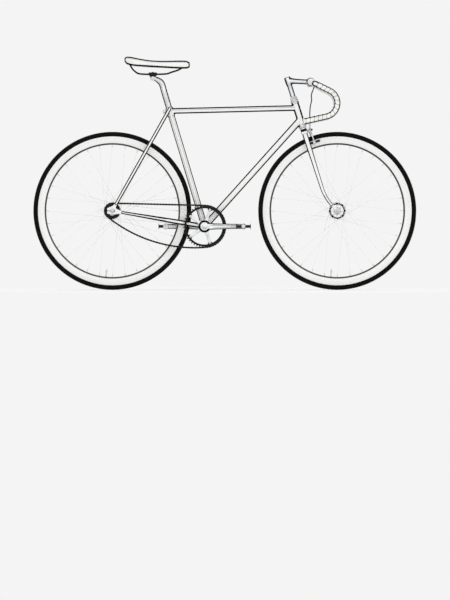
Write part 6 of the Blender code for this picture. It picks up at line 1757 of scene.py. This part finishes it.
ARM_TAILS = {
    "left": ([(-20, -3, 9.5), (-40, -4, 8)], make_anchor),
    "right": ([(-2, 3, 11), (-18, 13, 9), (-40, 14, 9)], make_barrel),
}


def sector(low, high, start, end):
    """Outline of part of a ring about the axle, measured from the pad's middle."""
    turns = [(start + (end - start) * k / 8) / PAD_REACH for k in range(9)]
    inner = [(low * sin(t), low * cos(t) - PAD_REACH) for t in turns]
    outer = [(high * sin(t), high * cos(t) - PAD_REACH) for t in turns]
    return inner + outer[::-1]


def make_arm(name, side):
    """One arm of the calliper, and its rubber pad of five blocks in a metal shoe."""
    out = side * Y
    layer = ARM_LAYERS[name]
    origin = steer_point(CALLIPER_HEIGHT, layer)
    tail, fitting = ARM_TAILS[name]
    knots = mm(
        (side * 24.4, -58.0, 8.5), (side * 25.4, -43.2, 8.0), (side * 27.4, -27.0, 8.0),
        (side * 19.4, -11.9, 10.0), (side * 10.0, -2.0, 12.0), *tail,
    )
    strap(smooth(knots, 6), origin, Y, STEER_UP, 0.0052, STEER_FRONT)
    lathe(mirrored([(3.2, -3), (8, -3), (8.7, -2.4)]), origin, STEER_FRONT, 40)
    foot = steer_point(sqrt(PAD_REACH ** 2 - (layer - FORK_RAKE) ** 2), layer)
    up = (foot - FRONT_AXLE).normalized()
    stud = foot + 0.0196 * out
    nut = stud + 0.009 * out
    rod(stud, nut + 0.005 * out, 0.0028, 20, 1)
    lathe([(2.9, 0), (5.6, 0), (5.8, 0.4), (5.6, 0.9), (2.9, 0.9)], nut, out, 24, 1)
    hexagon(nut + 0.0009 * out, out, 0.009, 0.0034, 1)
    fitting()
    fine("brake_arm_" + name, "brake_arm_" + name, [ALLOY, STEEL])

    plates = [
        ((0.3037, 0.3123, start, start + 0.0089), -0.00255, 0.0024, 0.0004, 0)
        for start in (-0.0245 + k * 0.0099 for k in range(5))
    ]
    plates.append(((0.3035, 0.3125, -0.025, 0.025), 0.0002, 0.0034, 0.0008, 0))
    plates.append(((0.304, 0.312, -0.024, 0.024), 0.0026, 0.0022, 0.0006, 1))
    for outline, offset, thickness, bevel, mat in plates:
        at = foot + (PAD_SIDE + offset) * out
        slab([sector(*outline)], at, Y.cross(up), up, thickness, bevel, mat)
    fine("brake_pad_" + name, "brake_arm_" + name, [RUBBER, BLACKED])


def make_cable():
    """Cable sleeve from the lever to the calliper, a ferrule at each end, and the bare wire below."""
    start = LEVER_BARREL + 0.0007 * Y
    end = BARREL_TOP + 0.0016 * Z
    out = mm((0, 0, 0), (0.3, 13, -1), (-1.5, 24, -8), (-7, 30, -23), (-14, 29, -45))
    back = mm((8, 23, 85), (3, 14, 62), (0.5, 5, 40), (0, 0.5, 18), (0, 0, 0))
    route = [start + Vector(step) for step in out] + [end + Vector(step) for step in back]
    swept(smooth(route, 6), SLEEVE_RADIUS, 18)
    ferrule = [(2.5, 0), (3.1, 0), (3.2, 0.4), (3.2, 8.2), (3, 8.8), (2.9, 9.4), (2.5, 9.6)]
    for foot, way in ((start, Y), (end, Z)):
        lathe(ferrule, foot, way, 24, 1)
    held = ANCHOR + 0.0042 * STEER_FRONT
    swept([end, BARREL_FOOT, held, held - 0.012 * STEER_UP], WIRE_RADIUS, 8, 1)
    fine("brake_cable", "fork", [HOUSING, STEEL])


def make_spindle():
    lathe(mirrored([
        (0, -38.5), (7.6, -38.5), (8, -38), (8.5, -30.6), (9.2, -30), (9.2, -23.6), (8.5, -23),
    ], (8.5, 0)), BB, Y, 40)
    fine("bottom_bracket_spindle", "crankset", STEEL)


make_brake_lever()
make_brake_bolt()
for name, side in SIDES:
    make_arm(name, side)
make_cable()
make_spindle()
